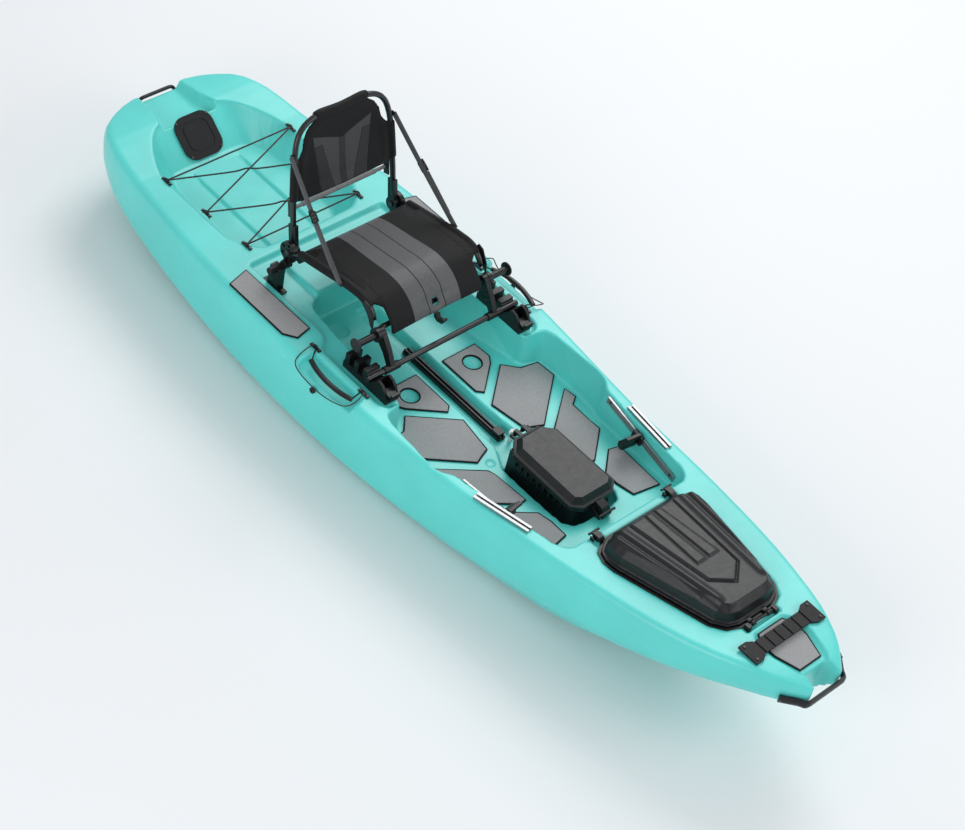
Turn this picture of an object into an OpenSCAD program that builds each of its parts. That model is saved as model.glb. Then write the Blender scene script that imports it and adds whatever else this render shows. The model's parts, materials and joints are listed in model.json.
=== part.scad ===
// Sit-on-top fishing kayak with a framed seat, hatch, dry pod, foot braces and deck fittings.
// Millimetres. +X is the bow, +Y is port, +Z is up. Z = 0 is the ground under the hull and
// X = Y = 0 is the middle of the overall box.

/* [Hull] */
// Length of the moulded hull between its stern and bow faces
hull_l = 3196; // [3000:2:3900]
// Greatest beam
hull_w = 870; // [800:2:1050]
// Height of the gunwale beside the seat
gunwale_z = 338; // [320:1:380]
// Height the bow deck stands above the gunwale beside the seat
bow_rise = 76; // [50:1:100]
// Wall of the rotomoulded shell
wall = 6; // [4:0.5:8]

/* [Cockpit] */
// Height of the cockpit floor
floor_z = 205; // [190:1:220]
// Height of the platforms beside the seat
platform_z = 320; // [305:1:330]
// Width of the bay between the two platforms
bay_w = 550; // [530:2:600]
// Front end of the footwell, from midships
footwell_end = 772; // [740:2:800]
// Depth of the centre channel below the floor
channel_d = 28; // [15:1:35]
// Thickness of the foam traction pads
pad_t = 5; // [3:0.5:8]

/* [Seat] */
// Distance between the centrelines of the two seat rails
rail_gauge = 470; // [450:2:500]
// Outside diameter of the seat rails
rail_d = 22; // [18:0.5:25]
// Outside diameter of the backrest tube
back_tube_d = 20; // [16:0.5:24]
// Height of the backrest above its hinge
back_h = 460; // [400:5:520]
// Lean of the backrest behind upright
back_lean = 13; // [5:1:20]
// Outside diameter of the front crossbar
crossbar_d = 20; // [18:0.5:24]
// Diameter of the pin that each folding joint turns on
pin_d = 12; // [10:0.5:14]
// Thickness of the sling fabric solids
sling_t = 12; // [6:1:16]

/* [Bow hatch] */
// Length of the hatch lid
hatch_l = 480; // [420:5:520]
// Width of the lid at its aft end
hatch_w = 420; // [380:5:440]
// Height of the lid dome above its flange
dome_h = 56; // [40:1:70]

/* [Dry pod] */
// Length of the pod flange
pod_l = 338; // [300:2:350]
// Width of the pod flange
pod_w = 200; // [180:2:206]
// Depth of the pod box below its flange
pod_d = 150; // [120:1:155]

/* [Fittings] */
// Length of each gunwale gear track
track_l = 210; // [150:5:240]
// Width of the gear tracks
track_w = 26; // [22:1:32]
// Length of each foot brace rail
foot_rail_l = 362; // [300:2:370]
// Diameter of the tankwell shock cord
cord_d = 6; // [5:0.5:8]
// Shank diameter of the deck screws
screw_d = 5; // [4:0.5:6]

/* [Clearances] */
// Running clearance on the radius of a pin in its hole
run_gap = 0.05; // [0.02:0.01:0.1]
// Gap between soft or resting pieces on different bodies
rest_gap = 0.4; // [0.3:0.1:1]
// Gap round a fitting that sits in a moulded recess
recess_gap = 3; // [1:0.5:5]

/* [Hidden] */

$fn = 32;
eps = 0.01;
HULL = "#6fdcd6";
PAD = "#8f9193";
BLACK = "#1d1e1f";
METAL = "#b9bcbf";

// ---------------------------------------------------------------- helpers

module both() { children(); mirror([0, 1, 0]) children(); }
module starboard() { mirror([0, 1, 0]) children(); }

function mix(a, b, t) = a + (b - a) * t;
function unit(v) = v / norm(v);

// Smooth curve through [x, value] points
function seg(x, p, i = 0) = (i >= len(p) - 2 || x < p[i + 1][0]) ? i : seg(x, p, i + 1);
function slope(p, i) =
  let (a = max(i - 1, 0), b = min(i + 1, len(p) - 1)) (p[b][1] - p[a][1]) / (p[b][0] - p[a][0]);
function curve(x, p) =
  let (
    i = seg(x, p), h = p[i + 1][0] - p[i][0],
    t = min(max((x - p[i][0]) / h, 0), 1), t2 = t * t, t3 = t2 * t
  )
  (2 * t3 - 3 * t2 + 1) * p[i][1] + (t3 - 2 * t2 + t) * slope(p, i) * h
  + (3 * t2 - 2 * t3) * p[i + 1][1] + (t3 - t2) * slope(p, i + 1) * h;

// Round bar between two points
module rod(a, b, d) {
  v = b - a;
  translate(a) rotate([0, acos(v[2] / norm(v)), atan2(v[1], v[0])]) cylinder(h = norm(v), d = d);
}

// Cylinder along Y, centred on the point at
module y_rod(at, h, d) { translate(at) rotate([90, 0, 0]) cylinder(h = h, d = d, center = true); }

// Plate cut from an outline in the XZ plane, from y0 to y1
module xz_plate(outline, y0, y1) {
  translate([0, y1, 0]) rotate([90, 0, 0]) linear_extrude(y1 - y0) polygon(outline);
}

// Box given by its two corners
module block(a, b) { translate(a) cube(b - a); }

// Rectangle with rounded corners
function round_rect(l, w, r, n = 6) = [
  for (q = [0:3], i = [0:n])
    let (a = 90 * (q + i / n), s = [[1, 1], [-1, 1], [-1, -1], [1, -1]][q])
    [s[0] * (l / 2 - r) + r * cos(a), s[1] * (w / 2 - r) + r * sin(a)]
];

// Skin over equal rings of points, with both ends capped
module skin(rings) {
  m = len(rings[0]);
  n = len(rings);
  polyhedron(
    [for (r = rings) each r],
    [
      [for (j = [0:m - 1]) j],
      for (i = [0:n - 2], j = [0:m - 1])
        let (a = i * m + j, b = i * m + (j + 1) % m) each [[a, a + m, b + m], [a, b + m, b]],
      [for (j = [m - 1:-1:0]) (n - 1) * m + j]
    ],
    convexity = 10
  );
}

// Section carried along a path of points; up is any direction the path never follows
module sweep(path, section, up) {
  n = len(path);
  skin([
    for (i = [0:n - 1])
      let (
        t = unit(path[min(i + 1, n - 1)] - path[max(i - 1, 0)]),
        u = unit(cross(up, t)), w = cross(t, u)
      )
      [for (s = section) path[i] + s[0] * u + s[1] * w]
  ]);
}
function ngon(d, n) = [for (i = [0:n - 1]) [d / 2 * cos(360 * i / n), d / 2 * sin(360 * i / n)]];
function bar(w, t) = [[w / 2, t / 2], [-w / 2, t / 2], [-w / 2, -t / 2], [w / 2, -t / 2]];

// Rounds the corners of a path of points: each corner becomes n + 1 points
function rounded(p, r, n = 4) = [
  p[0],
  for (i = [1:len(p) - 2])
    let (
      a = p[i] + unit(p[i - 1] - p[i]) * min(r, norm(p[i - 1] - p[i]) / 2.2),
      b = p[i] + unit(p[i + 1] - p[i]) * min(r, norm(p[i + 1] - p[i]) / 2.2)
    )
    for (k = [0:n]) let (t = k / n) (1 - t) * (1 - t) * a + 2 * t * (1 - t) * p[i] + t * t * b,
  p[len(p) - 1]
];

// Port half outline made whole by its mirror image
function whole(half) = concat(
  [for (i = [len(half) - 1:-1:0]) if (half[i][1] > 0) half[i]],
  [for (p = half) if (p[1] > 0) [p[0], -p[1]]]
);

// Outline moved outwards by d; the outline runs counterclockwise seen from above
function grown(p, d) = [
  for (i = [0:len(p) - 1])
    let (
      n = len(p), a = p[(i + n - 1) % n], b = p[i], c = p[(i + 1) % n],
      u = unit([b[0] - a[0], b[1] - a[1]]), v = unit([c[0] - b[0], c[1] - b[1]]),
      nu = [u[1], -u[0]], nv = [v[1], -v[0]]
    )
    [b[0], b[1]] + d * (nu + nv) / (1 + nu * nv)
];

// Pocket whose sides slope from a rim outline to a floor outline, and stand upright above the
// rim. soft rounds its corners. grow makes the pocket's liner, that much larger.
module pocket(rim, z_rim, low, z_low, grow = 0, soft = 0) {
  top = whole(soft > 0 ? rounded(rim, soft, 3) : rim);
  base = whole(soft > 0 ? rounded(low, soft, 3) : low);
  t = grow > 0 ? grown(top, grow) : top;
  b = grow > 0 ? grown(base, grow) : base;
  skin([at_z(b, z_low - grow), at_z(t, z_rim), at_z(t, above)]);
}
function at_z(outline, z) = [for (p = outline) [p[0], p[1], z]];

// ---------------------------------------------------------------- hull form

stern_x = -hull_l / 2;
bow_x = hull_l / 2;
half_w = hull_w / 2;
bow_z = gunwale_z + bow_rise;

// Half beam, deck edge height, keel rise, chine height, chine width and V along the hull
beam_pts = [
  [stern_x, 128], [stern_x + 12, 176], [stern_x + 40, 240], [stern_x + 75, half_w - 145],
  [stern_x + 135, half_w - 110], [stern_x + 225, half_w - 82], [stern_x + 400, half_w - 56],
  [-900, half_w - 22], [-600, half_w - 4], [-300, half_w], [-54, half_w - 8],
  [282, half_w - 38], [bow_x - 885, half_w - 82], [bow_x - 732, half_w - 102],
  [bow_x - 465, half_w - 148], [bow_x - 271, half_w - 203], [bow_x - 130, 172],
  [bow_x - 66, 134], [bow_x - 26, 100], [bow_x, 78]
];
deck_pts = [
  [stern_x, gunwale_z - 4], [stern_x + 140, gunwale_z + 8], [stern_x + 260, gunwale_z],
  [stern_x + 400, gunwale_z - 10], [-800, gunwale_z - 4], [-400, gunwale_z],
  [0, gunwale_z - 4], [438, gunwale_z - 8], [650, gunwale_z + 6],
  [bow_x - 740, mix(gunwale_z, bow_z, 0.3)], [bow_x - 300, mix(gunwale_z, bow_z, 0.8)],
  [bow_x - 200, bow_z], [bow_x - 60, bow_z], [bow_x, bow_z - 10]
];
keel_pts = [
  [stern_x, 150], [stern_x + 90, 100], [stern_x + 300, 42], [-980, 14], [-700, 0], [-500, 0],
  [500, 0], [700, 0], [bow_x - 700, 16], [bow_x - 450, 58], [bow_x - 250, 120],
  [bow_x - 100, 200], [bow_x, 276]
];
chine_pts = [
  [stern_x, 222], [stern_x + 200, 140], [stern_x + 400, 108], [-800, 90], [-250, 74],
  [300, 68], [bow_x - 1040, 78], [bow_x - 700, 128], [bow_x - 400, 206], [bow_x - 150, 286],
  [bow_x, 326]
];
tuck_pts = [
  [stern_x, 0.9], [stern_x + 400, 0.95], [-300, 0.985], [300, 0.95], [bow_x - 1040, 0.9],
  [bow_x - 700, 0.86], [bow_x - 400, 0.8], [bow_x - 150, 0.72], [bow_x, 0.72]
];
vee_pts = [
  [stern_x, 0.35], [-900, 0.1], [-600, 0], [200, 0], [bow_x - 800, 0.55],
  [bow_x - 450, 1], [bow_x, 1]
];

// Bottom of a half section: share of the chine width, and height on a flat bottom
bottom_pts = [
  [0, 16], [0.22, 26], [0.4, 12], [0.5, 1.5], [0.56, 0], [0.78, 0], [0.9, 14]
];
// Side of a half section: share from chine to full beam, and share from chine to max beam
side_pts = [[0, 0], [0.42, 0.12], [0.75, 0.34], [0.93, 0.62], [1, 0.9]];
// Rounded shoulder: inset from full beam, and depth below the deck edge
shoulder_pts = [[0, 52], [2, 30], [6, 13], [14, 3], [25, 0]];

function half_section(x, t) =
  let (
    yb = curve(x, beam_pts) - t, zd = curve(x, deck_pts) - t,
    zk = max(0, curve(x, keel_pts)) + t, zc = max(zk + 20, curve(x, chine_pts) + t / 2),
    yc = yb * curve(x, tuck_pts), v = max(0, min(1, curve(x, vee_pts))),
    zm = zd - shoulder_pts[0][1], low = min(1, (zc - zk) / 60)
  )
  [
    for (p = bottom_pts)
      [p[0] * yc, zk + mix(p[1] * low, (zc - zk) * pow(p[0], 1.25), v)],
    for (p = side_pts) [mix(yc, yb, p[0]), mix(zc, zm, p[1])],
    for (p = shoulder_pts) [yb - p[0], zd - p[1]]
  ];

function ring_at(x, t) =
  let (h = half_section(x, t), n = len(h))
  concat(
    [for (p = h) [x, p[0], p[1]]],
    [for (i = [n - 1:-1:1]) [x, -h[i][0], h[i][1]]]
  );

// Stations: close together where the ends turn in, even between
end_steps = [0, 12, 26, 44, 70, 105, 150, 200, 260];
function stations(step) = concat(
  [for (s = end_steps) stern_x + s],
  let (a = stern_x + 260, b = bow_x - 260, n = ceil((b - a) / step))
    [for (i = [1:n - 1]) mix(a, b, i / n)],
  [for (i = [len(end_steps) - 1:-1:0]) bow_x - end_steps[i]]
);
inner_steps = [8, 44, 105, 200, 320];
function inner_stations(step) = concat(
  [for (s = inner_steps) stern_x + s],
  let (a = stern_x + 320, b = bow_x - 320, n = ceil((b - a) / step))
    [for (i = [1:n - 1]) mix(a, b, i / n)],
  [for (i = [len(inner_steps) - 1:-1:0]) bow_x - inner_steps[i]]
);

function deck_at(x) = curve(x, deck_pts);
function beam_at(x) = curve(x, beam_pts);

// ---------------------------------------------------------------- hull recesses

bay_y = bay_w / 2;
platform_front = 12;
seat_box = [-672, -507];
above = bow_z + 60;

// Footwell: top and floor outlines of the port half
foot_slope = 0.12;
foot_rise_x = 340;
ramp_x = footwell_end + 60;
function floor_at(x) = floor_z + max(0, x - foot_rise_x) * foot_slope;
brace_x0 = 334;
brace_x1 = footwell_end - 36;
foot_top = [
  [seat_box[1], 0], [seat_box[1], 192], [-478, 236], [-380, 248], [-300, bay_y - 15],
  [platform_front, bay_y], [26, half_w - 84], [60, half_w - 72], [282, half_w - 58],
  [310, half_w - 74], [brace_x0, half_w - 98], [brace_x1, half_w - 152],
  [footwell_end, half_w - 180], [footwell_end, 0]
];
foot_low = [
  [seat_box[1], 0], [seat_box[1], 180], [-472, 222], [-380, 222], [-200, 222],
  [26, bay_y - 2], [44, half_w - 96], [119, half_w - 88], [240, half_w - 88],
  [310, half_w - 94], [brace_x0 + 2, half_w - 104], [brace_x1 - 4, half_w - 158],
  [footwell_end - 16, half_w - 188], [footwell_end - 12, 0]
];
// Platforms beside the seat
shelf_top = [
  [-740, 0], [-740, 296], [-384, 296], [-372, bay_y + 20], [-340, bay_y + 27],
  [-300, bay_y + 73], [platform_front - 26, bay_y + 73], [platform_front, bay_y + 50],
  [platform_front, 0]
];
shelf_low = [
  [-726, 0], [-726, 290], [-386, 290], [-374, bay_y + 16], [-340, bay_y + 22],
  [-298, bay_y + 66], [platform_front - 30, bay_y + 66], [platform_front - 4, bay_y + 48],
  [platform_front - 4, 0]
];
// Tankwell
tank_z = 236;
plate_x0 = stern_x + 158;
plate_x1 = stern_x + 300;
tank_top = [
  [plate_x0, 0], [plate_x0, 122], [stern_x + 192, 172], [stern_x + 253, 222],
  [stern_x + 357, half_w - 155], [stern_x + 483, half_w - 152], [-868, half_w - 154],
  [-806, half_w - 200], [-768, 200], [-768, 0]
];
tank_low = [
  [plate_x1, 0], [plate_x1, 122], [stern_x + 304, 162], [stern_x + 345, 192],
  [stern_x + 400, 204], [stern_x + 483, 206], [-886, 206], [-842, 192], [-812, 160], [-812, 0]
];
// Stern trough for the handle
trough_z = gunwale_z - 36;
trough_top = [
  [stern_x - 20, 0], [stern_x - 20, 92], [stern_x + 100, 100], [stern_x + 160, 122],
  [stern_x + 180, 124], [stern_x + 180, 0]
];
trough_low = [
  [stern_x - 20, 0], [stern_x - 20, 74], [stern_x + 100, 82], [stern_x + 150, 100],
  [stern_x + 172, 104], [stern_x + 172, 0]
];
// Centre channel and pod well
pod_x0 = 312;
pod_x1 = pod_x0 + pod_l;
pod_flange_z = 288;
channel_z = floor_z - channel_d;
channel_top = [
  [-470, 0], [-470, 30], [-440, 44], [100, 50], [pod_x0 - 60, 60],
  [pod_x0 + 20, pod_w / 2 + 2], [pod_x1 - 30, pod_w / 2 + 20], [pod_x1 + 4, pod_w / 2],
  [pod_x1 + 12, 60], [pod_x1 + 12, 0]
];
channel_low = [
  [-460, 0], [-460, 22], [-430, 32], [100, 36], [pod_x0 - 60, 44],
  [pod_x0 + 24, pod_w / 2 - 10], [pod_x1 - 34, pod_w / 2 + 4], [pod_x1 - 4, pod_w / 2 - 10],
  [pod_x1 + 2, 48], [pod_x1 + 2, 0]
];
pod_box_w = pod_w - 36;
pod_box_l = pod_l - 36;
well_z = pod_flange_z - pod_d - rest_gap;
well_half = [
  [pod_x0 + 12, 0], [pod_x0 + 12, pod_w / 2 - 12], [pod_x1 - 12, pod_w / 2 - 12], [pod_x1 - 12, 0]
];
// Recess for the centre pad at the bow
bow_pad_z = bow_z - 14;
bow_cut_top = [
  [bow_x - 250, 0], [bow_x - 250, 66], [bow_x - 205, 92], [bow_x - 150, 90],
  [bow_x - 62, 66], [bow_x - 30, 44], [bow_x - 30, 0]
];
bow_cut_low = [
  [bow_x - 246, 0], [bow_x - 246, 60], [bow_x - 203, 84], [bow_x - 152, 82],
  [bow_x - 66, 59], [bow_x - 34, 38], [bow_x - 34, 0]
];
// Notch at the bow face for the handle
notch_z = 150;
notch_half = [[bow_x - 54, 0], [bow_x - 54, 42], [bow_x - 36, 54], [bow_x + 20, 58], [bow_x + 20, 0]];

module grooves(x0, x1, y, z, w, d) {
  both() block([x0, y - w / 2, z - d], [x1, y + w / 2, z + 5]);
}

// Hollow cut in the side of the gunwale behind each carry handle
scoop_x = [-318, -58];
module scoops() {
  both() skin([
    for (s = [0, 1])
      [for (p = [[0, 1], [1, 1], [1, 0], [0, 0]])
        [
          mix(scoop_x[0] + (1 - s) * 24 * (1 - p[1]), scoop_x[1] - (1 - s) * 24 * (1 - p[1]), p[0]),
          s == 0 ? bay_y + 98 : half_w + 20,
          mix(gunwale_z - 34 + s * -10, gunwale_z + 20, p[1])
        ]]
  ]);
}

// The hatch lies on a plane that rises towards the bow
hatch_x0 = bow_x - 780;
hatch_tilt = 4.6;
hatch_z = mix(gunwale_z, bow_z, 0.28) - 6;
module on_hatch() {
  translate([hatch_x0, 0, hatch_z]) rotate([0, -hatch_tilt, 0]) children();
}
// Outline of the hatch, in the hatch plane, widened by g
nose_w = hatch_w * 0.56;
function hatch_half(g) = [
  [-g, 0], [-g, hatch_w / 2 - 62 + g * 0.6], [26 - g * 0.7, hatch_w / 2 - 16 + g * 0.7],
  [60 - g * 0.3, hatch_w / 2 - 3 + g * 0.95], [100, hatch_w / 2 - 4 + g],
  [hatch_l - 52 + g * 0.2, nose_w / 2 + 16 + g], [hatch_l - 14 + g * 0.7, nose_w / 2 - 12 + g * 0.7],
  [hatch_l + g, nose_w / 2 - 50 + g * 0.4], [hatch_l + g, 0]
];
module hatch_prism(g, z0, z1) {
  translate([0, 0, z0]) linear_extrude(z1 - z0) polygon(whole(hatch_half(g)));
}
rim_w = 16;
rim_t = 5;
land_w = 14;

// The stern plate lies on the sloping aft wall of the tankwell
plate_w = 160;
plate_t = 6;
plate_from = [plate_x1, tank_z];
plate_to = [plate_x0, gunwale_z];
plate_tilt = atan2(plate_to[1] - plate_from[1], plate_from[0] - plate_to[0]);
plate_mid = (plate_from + plate_to) / 2;
module on_plate() {
  translate([plate_mid[0], 0, plate_mid[1]]) rotate([0, plate_tilt, 0]) children();
}

module hull_wells(g) {
  difference() {
    pocket(foot_top, gunwale_z, foot_low, floor_z, g, 22);
    xz_plate([
      [foot_rise_x, 0], [ramp_x, 0], [ramp_x, floor_at(ramp_x) - g], [foot_rise_x, floor_z - g]
    ], -half_w, half_w);
  }
  pocket(tank_top, gunwale_z, tank_low, tank_z, g, 40);
  pocket(trough_top, gunwale_z, trough_low, trough_z, g);
  pocket(channel_top, floor_z + 12, channel_low, channel_z, g);
  pocket(well_half, floor_z, well_half, well_z, g);
  pocket(bow_cut_top, bow_z, bow_cut_low, bow_pad_z, g);
  pocket(notch_half, bow_z, notch_half, notch_z, g);
}
module shelf_wells(g) {
  difference() {
    pocket(shelf_top, gunwale_z, shelf_low, platform_z, g, 14);
    block([seat_box[0] + g, -190 + g, 0], [seat_box[1] - g, 190 - g, above + 1]);
  }
}
// Recess for the lid, its hinge at the nose and its two latches aft
hinge_x = hatch_l + 26;
hinge_w = 136;
latch_x = -34;
latch_y = hatch_w / 2 - 48;
module hatch_cut(g) {
  on_hatch() {
    hatch_prism(rim_w + recess_gap + g, -g, 140);
    block([hinge_x - 30, -hinge_w / 2 - 8 - g, -g], [hinge_x + 18 + g, hinge_w / 2 + 8 + g, 140]);
    both() block([latch_x - 22 - g, latch_y - 26 - g, -g], [0, latch_y + 26 + g, 140]);
  }
}

module hull() {
  color(HULL) {
    difference() {
      resize([0, 0, 0]) difference() {
        skin([for (x = stations(96)) ring_at(x, 0)]);
        hull_wells(0);
        shelf_wells(0);
        hatch_cut(0);
        scoops();
        grooves(stern_x + 366, -816, 100, tank_z, 8, 5);
        difference() {
          skin([for (x = inner_stations(150)) ring_at(x, wall)]);
          hull_wells(wall);
          shelf_wells(wall);
          hatch_cut(wall);
          minkowski() { scoops(); cube(2 * wall, center = true); }
        }
        on_hatch() hatch_prism(-land_w, -60, 20);
        on_plate() translate([0, 0, -30]) linear_extrude(60) polygon(round_rect(104, 104, 26));
      }
    }
  }
}

// ---------------------------------------------------------------- fasteners and eyes

// Pan-head deck screw whose head sits on the point at and whose shank runs down
head_d = 9;
head_t = 3;
shank_l = 12;
module screw(at, tilt = [0, 0, 0]) {
  translate(at) rotate(tilt) {
    cylinder(h = head_t, d = head_d);
    translate([0, 0, -shank_l]) cylinder(h = shank_l + eps, d = screw_d);
  }
}
// Clearance hole for such a screw
module screw_hole(at, tilt = [0, 0, 0]) {
  translate(at) rotate(tilt) translate([0, 0, -shank_l]) cylinder(h = 2 * shank_l, d = screw_d + 0.4);
}

// Tankwell eyes of the port side, and the two eyes of the port carry handle
eye_seat = 2;
eye_t = 3;
eye_l = 46;
eye_r = 10;
eye_pitch = 34;
tank_eyes = [
  for (x = [stern_x + 399, -1003, -806]) [x, half_w - 163 - 27 * max(0, (x + 1199) / 393), 0]
];
side_eye_y = half_w - 76;
side_eyes = [[scoop_x[0] + 2, side_eye_y, 0], [scoop_x[1] - 20, side_eye_y, 0]];
function on_deck(p) = [p[0], p[1], deck_at(p[0]) + eye_seat];
eye_places = [for (p = concat(tank_eyes, side_eyes)) on_deck(p)];
module pad_eye() {
  difference() {
    translate([-eye_l / 2, -6, 0]) cube([eye_l, 12, eye_t]);
    for (s = [-1, 1]) screw_hole([s * eye_pitch / 2, 0, eye_t]);
  }
  translate([0, 0, eye_t - 1]) rotate([90, 0, 0]) rotate_extrude(angle = 180)
    translate([eye_r, 0]) circle(d = 4, $fn = 16);
}
module deck_pad_eyes() { color(BLACK) both() for (p = eye_places) translate(p) pad_eye(); }

// Shock cord laced between the eyes of the tankwell
cord_z = eye_t + cord_d / 2 + 0.4;
function eye_point(i, side) = [tank_eyes[i][0], side * tank_eyes[i][1],
  deck_at(tank_eyes[i][0]) + eye_seat + cord_z];
// One run of cord from a starboard eye to a port eye, lifted where it crosses another
module strand(i, j, lift = 0) {
  a = eye_point(i, -1);
  b = eye_point(j, 1);
  u = 3 * unit(b - a);
  sweep([a - u, mix(a, b, 0.35), mix(a, b, 0.5) + [0, 0, lift], mix(a, b, 0.65), b + u],
    ngon(cord_d, 8), [0, 0, 1]);
}
module tankwell_bungee() {
  over = cord_d + 0.6;
  color(BLACK) {
    strand(0, 0);
    strand(0, 1, over);
    strand(1, 0);
    strand(1, 2, over);
    strand(2, 1);
    strand(2, 2);
  }
}

// ---------------------------------------------------------------- foam pads

pad_lift = 0.3;
scupper = [-71, 140];
floor_pad_outlines = [
  [[-132, 58], [-132, 206], [-62, 212], [-34, 192], [54, 82], [34, 58]],
  [[-14, 214], [34, 262], [48, half_w - 103], [124, half_w - 98], [272, 150], [258, 116], [246, 84],
   [106, 62]],
  [[186, half_w - 112], [236, half_w - 104], [258, half_w - 138], [foot_rise_x - 1, half_w - 140],
   [foot_rise_x - 1, 136], [314, 144]],
  [[foot_rise_x + 1, half_w - 140], [388, half_w - 142], [486, 170], [484, 140],
   [foot_rise_x + 1, 136]],
  [[474, 240], [486, half_w - 152], [footwell_end - 80, half_w - 180], [674, 152], [602, 144],
   [548, 150]]
];
module sloped_pad(outline, t) {
  skin([
    for (h = [pad_lift, pad_lift + t])
      [for (i = [len(outline) - 1:-1:0]) let (p = outline[i]) [p[0], p[1], floor_at(p[0]) + h]]
  ]);
}
module floor_pads() {
  color(PAD) both() {
    difference() {
      translate([0, 0, floor_z + pad_lift]) linear_extrude(pad_t) polygon(floor_pad_outlines[0]);
      translate([scupper[0], scupper[1], floor_z]) cylinder(h = 20, d = 62);
    }
    for (i = [1, 2])
      translate([0, 0, floor_z + pad_lift]) linear_extrude(pad_t) polygon(floor_pad_outlines[i]);
    for (i = [3, 4]) sloped_pad(floor_pad_outlines[i], pad_t);
  }
}
module gunwale_pads() {
  outline = [
    [-716, half_w - 113], [-692, half_w - 24], [-420, half_w - 22], [-378, half_w - 54],
    [-392, half_w - 116]
  ];
  color(PAD) both() skin([
    for (h = [1.2, 1.2 + pad_t])
      [for (i = [len(outline) - 1:-1:0]) let (p = outline[i]) [p[0], p[1], deck_at(p[0]) + h]]
  ]);
}
module bow_pad() {
  outline = [
    [bow_x - 240, 54], [bow_x - 205, 76], [bow_x - 150, 74], [bow_x - 70, 48], [bow_x - 70, -48],
    [bow_x - 150, -74], [bow_x - 205, -76], [bow_x - 240, -54]
  ];
  color(PAD) translate([0, 0, bow_pad_z + pad_lift]) linear_extrude(pad_t) polygon(outline);
}

// ---------------------------------------------------------------- bow and stern

strap_x = [bow_x - 233, bow_x - 155];
strap_waist = 14;
strap_y = 156;
strap_t = 8;
strap_z = max(deck_at(strap_x[0]), deck_at(strap_x[1]), bow_z) + 1.6;
strap_screws = [for (x = [strap_x[0] + 12, strap_x[1] - 12]) [x, strap_y - 14, strap_z + strap_t]];
module bow_strap() {
  color(BLACK) difference() {
    translate([0, 0, strap_z]) linear_extrude(strap_t) polygon(concat(
      [for (p = [[0, -1], [0, -0.8], [1, -0.64], [1, 0.64], [0, 0.8], [0, 1]])
        [strap_x[0] + strap_waist * p[0], strap_y * p[1]]],
      [for (p = [[0, 1], [0, 0.8], [1, 0.64], [1, -0.64], [0, -0.8], [0, -1]])
        [strap_x[1] - strap_waist * p[0], strap_y * p[1]]]
    ));
    for (i = [-2.5:2.5])
      block([strap_x[0] - 1, i * 40 - 4, strap_z + strap_t - 3.5], [strap_x[1] + 1, i * 40 + 4, 600]);
    both() for (p = strap_screws) screw_hole(p);
  }
}

// Carry handles: the outer face stands handle_reach beyond the hull's end
handle_reach = 18;
handle_t = 14;
bow_handle_t = 14;
bow_handle_h = 30;
bow_handle_z = bow_z - 62;
root_gap = 3.4;
handle_screw_y = beam_at(bow_x - 50) + bow_handle_t + root_gap + 1.4;
module bow_handle() {
  side = [
    for (d = [58, 40, 22, 6])
      [bow_x - d, beam_at(bow_x - d) + bow_handle_t / 2 + root_gap, bow_handle_z]
  ];
  tip = [bow_x + handle_reach - bow_handle_t / 2, beam_at(bow_x) + 8, bow_handle_z];
  path = concat(side, [tip], [[tip[0], -tip[1], tip[2]]],
    [for (i = [3:-1:0]) [side[i][0], -side[i][1], side[i][2]]]);
  color(BLACK) difference() {
    sweep(rounded(path, 16, 3), ngon_bar(bow_handle_t, bow_handle_h), [0, 0, 1]);
    both() y_rod([bow_x - 50, beam_at(bow_x - 50), bow_handle_z], 60, screw_d + 0.4);
    both() y_rod([bow_x - 50, handle_screw_y + bow_handle_t / 2, bow_handle_z], bow_handle_t,
      head_d + 0.6);
  }
}
function ngon_bar(w, h) = [
  for (q = [0:3], a = [20, 70])
    [cos(a + 90 * q) * w / 2 / cos(20), sin(a + 90 * q) * h / 2 / cos(20)]
];
module stern_handle() {
  z = trough_z + 6;
  leg = 86;
  x = stern_x - handle_reach + handle_t / 2;
  path = [
    [stern_x - handle_t / 2 - 0.6, leg, z - 54], [x, leg, z - 40], [x, leg - 4, z - 14], [x, leg - 22, z],
    [x, 22 - leg, z], [x, 4 - leg, z - 14], [x, -leg, z - 40], [stern_x - handle_t / 2 - 0.6, -leg, z - 54]
  ];
  color(BLACK) sweep(rounded(path, 12, 3), ngon(handle_t, 8), [1, 0, 0.1]);
}

plate_r = 46;
gasket_t = 2;
plate_lift = 0.3;
module stern_plate_gasket() {
  color(BLACK) on_plate() translate([0, 0, plate_lift]) linear_extrude(gasket_t) difference() {
    polygon(round_rect(plate_w - 8, plate_w - 8, plate_r - 4));
    polygon(round_rect(plate_w - 34, plate_w - 34, plate_r - 14));
    for (x = [-1, 1], y = [-1, 1])
      translate([x, y] * (plate_w / 2 - 16)) circle(d = screw_d + 0.4);
  }
}
plate_screws = [for (x = [-1, 1], y = [-1, 1]) [x, y] * (plate_w / 2 - 16)];
module stern_plate() {
  color(BLACK) on_plate() translate([0, 0, plate_lift + gasket_t]) difference() {
    linear_extrude(plate_t) polygon(round_rect(plate_w, plate_w, plate_r));
    translate([0, 0, plate_t - 2]) linear_extrude(5)
      difference() {
        polygon(round_rect(plate_w - 52, plate_w - 52, plate_r - 16));
        polygon(round_rect(plate_w - 60, plate_w - 60, plate_r - 19));
      }
    for (p = plate_screws) screw_hole([p[0], p[1], plate_t]);
  }
}

// ---------------------------------------------------------------- gunwale tracks, foot braces

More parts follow.
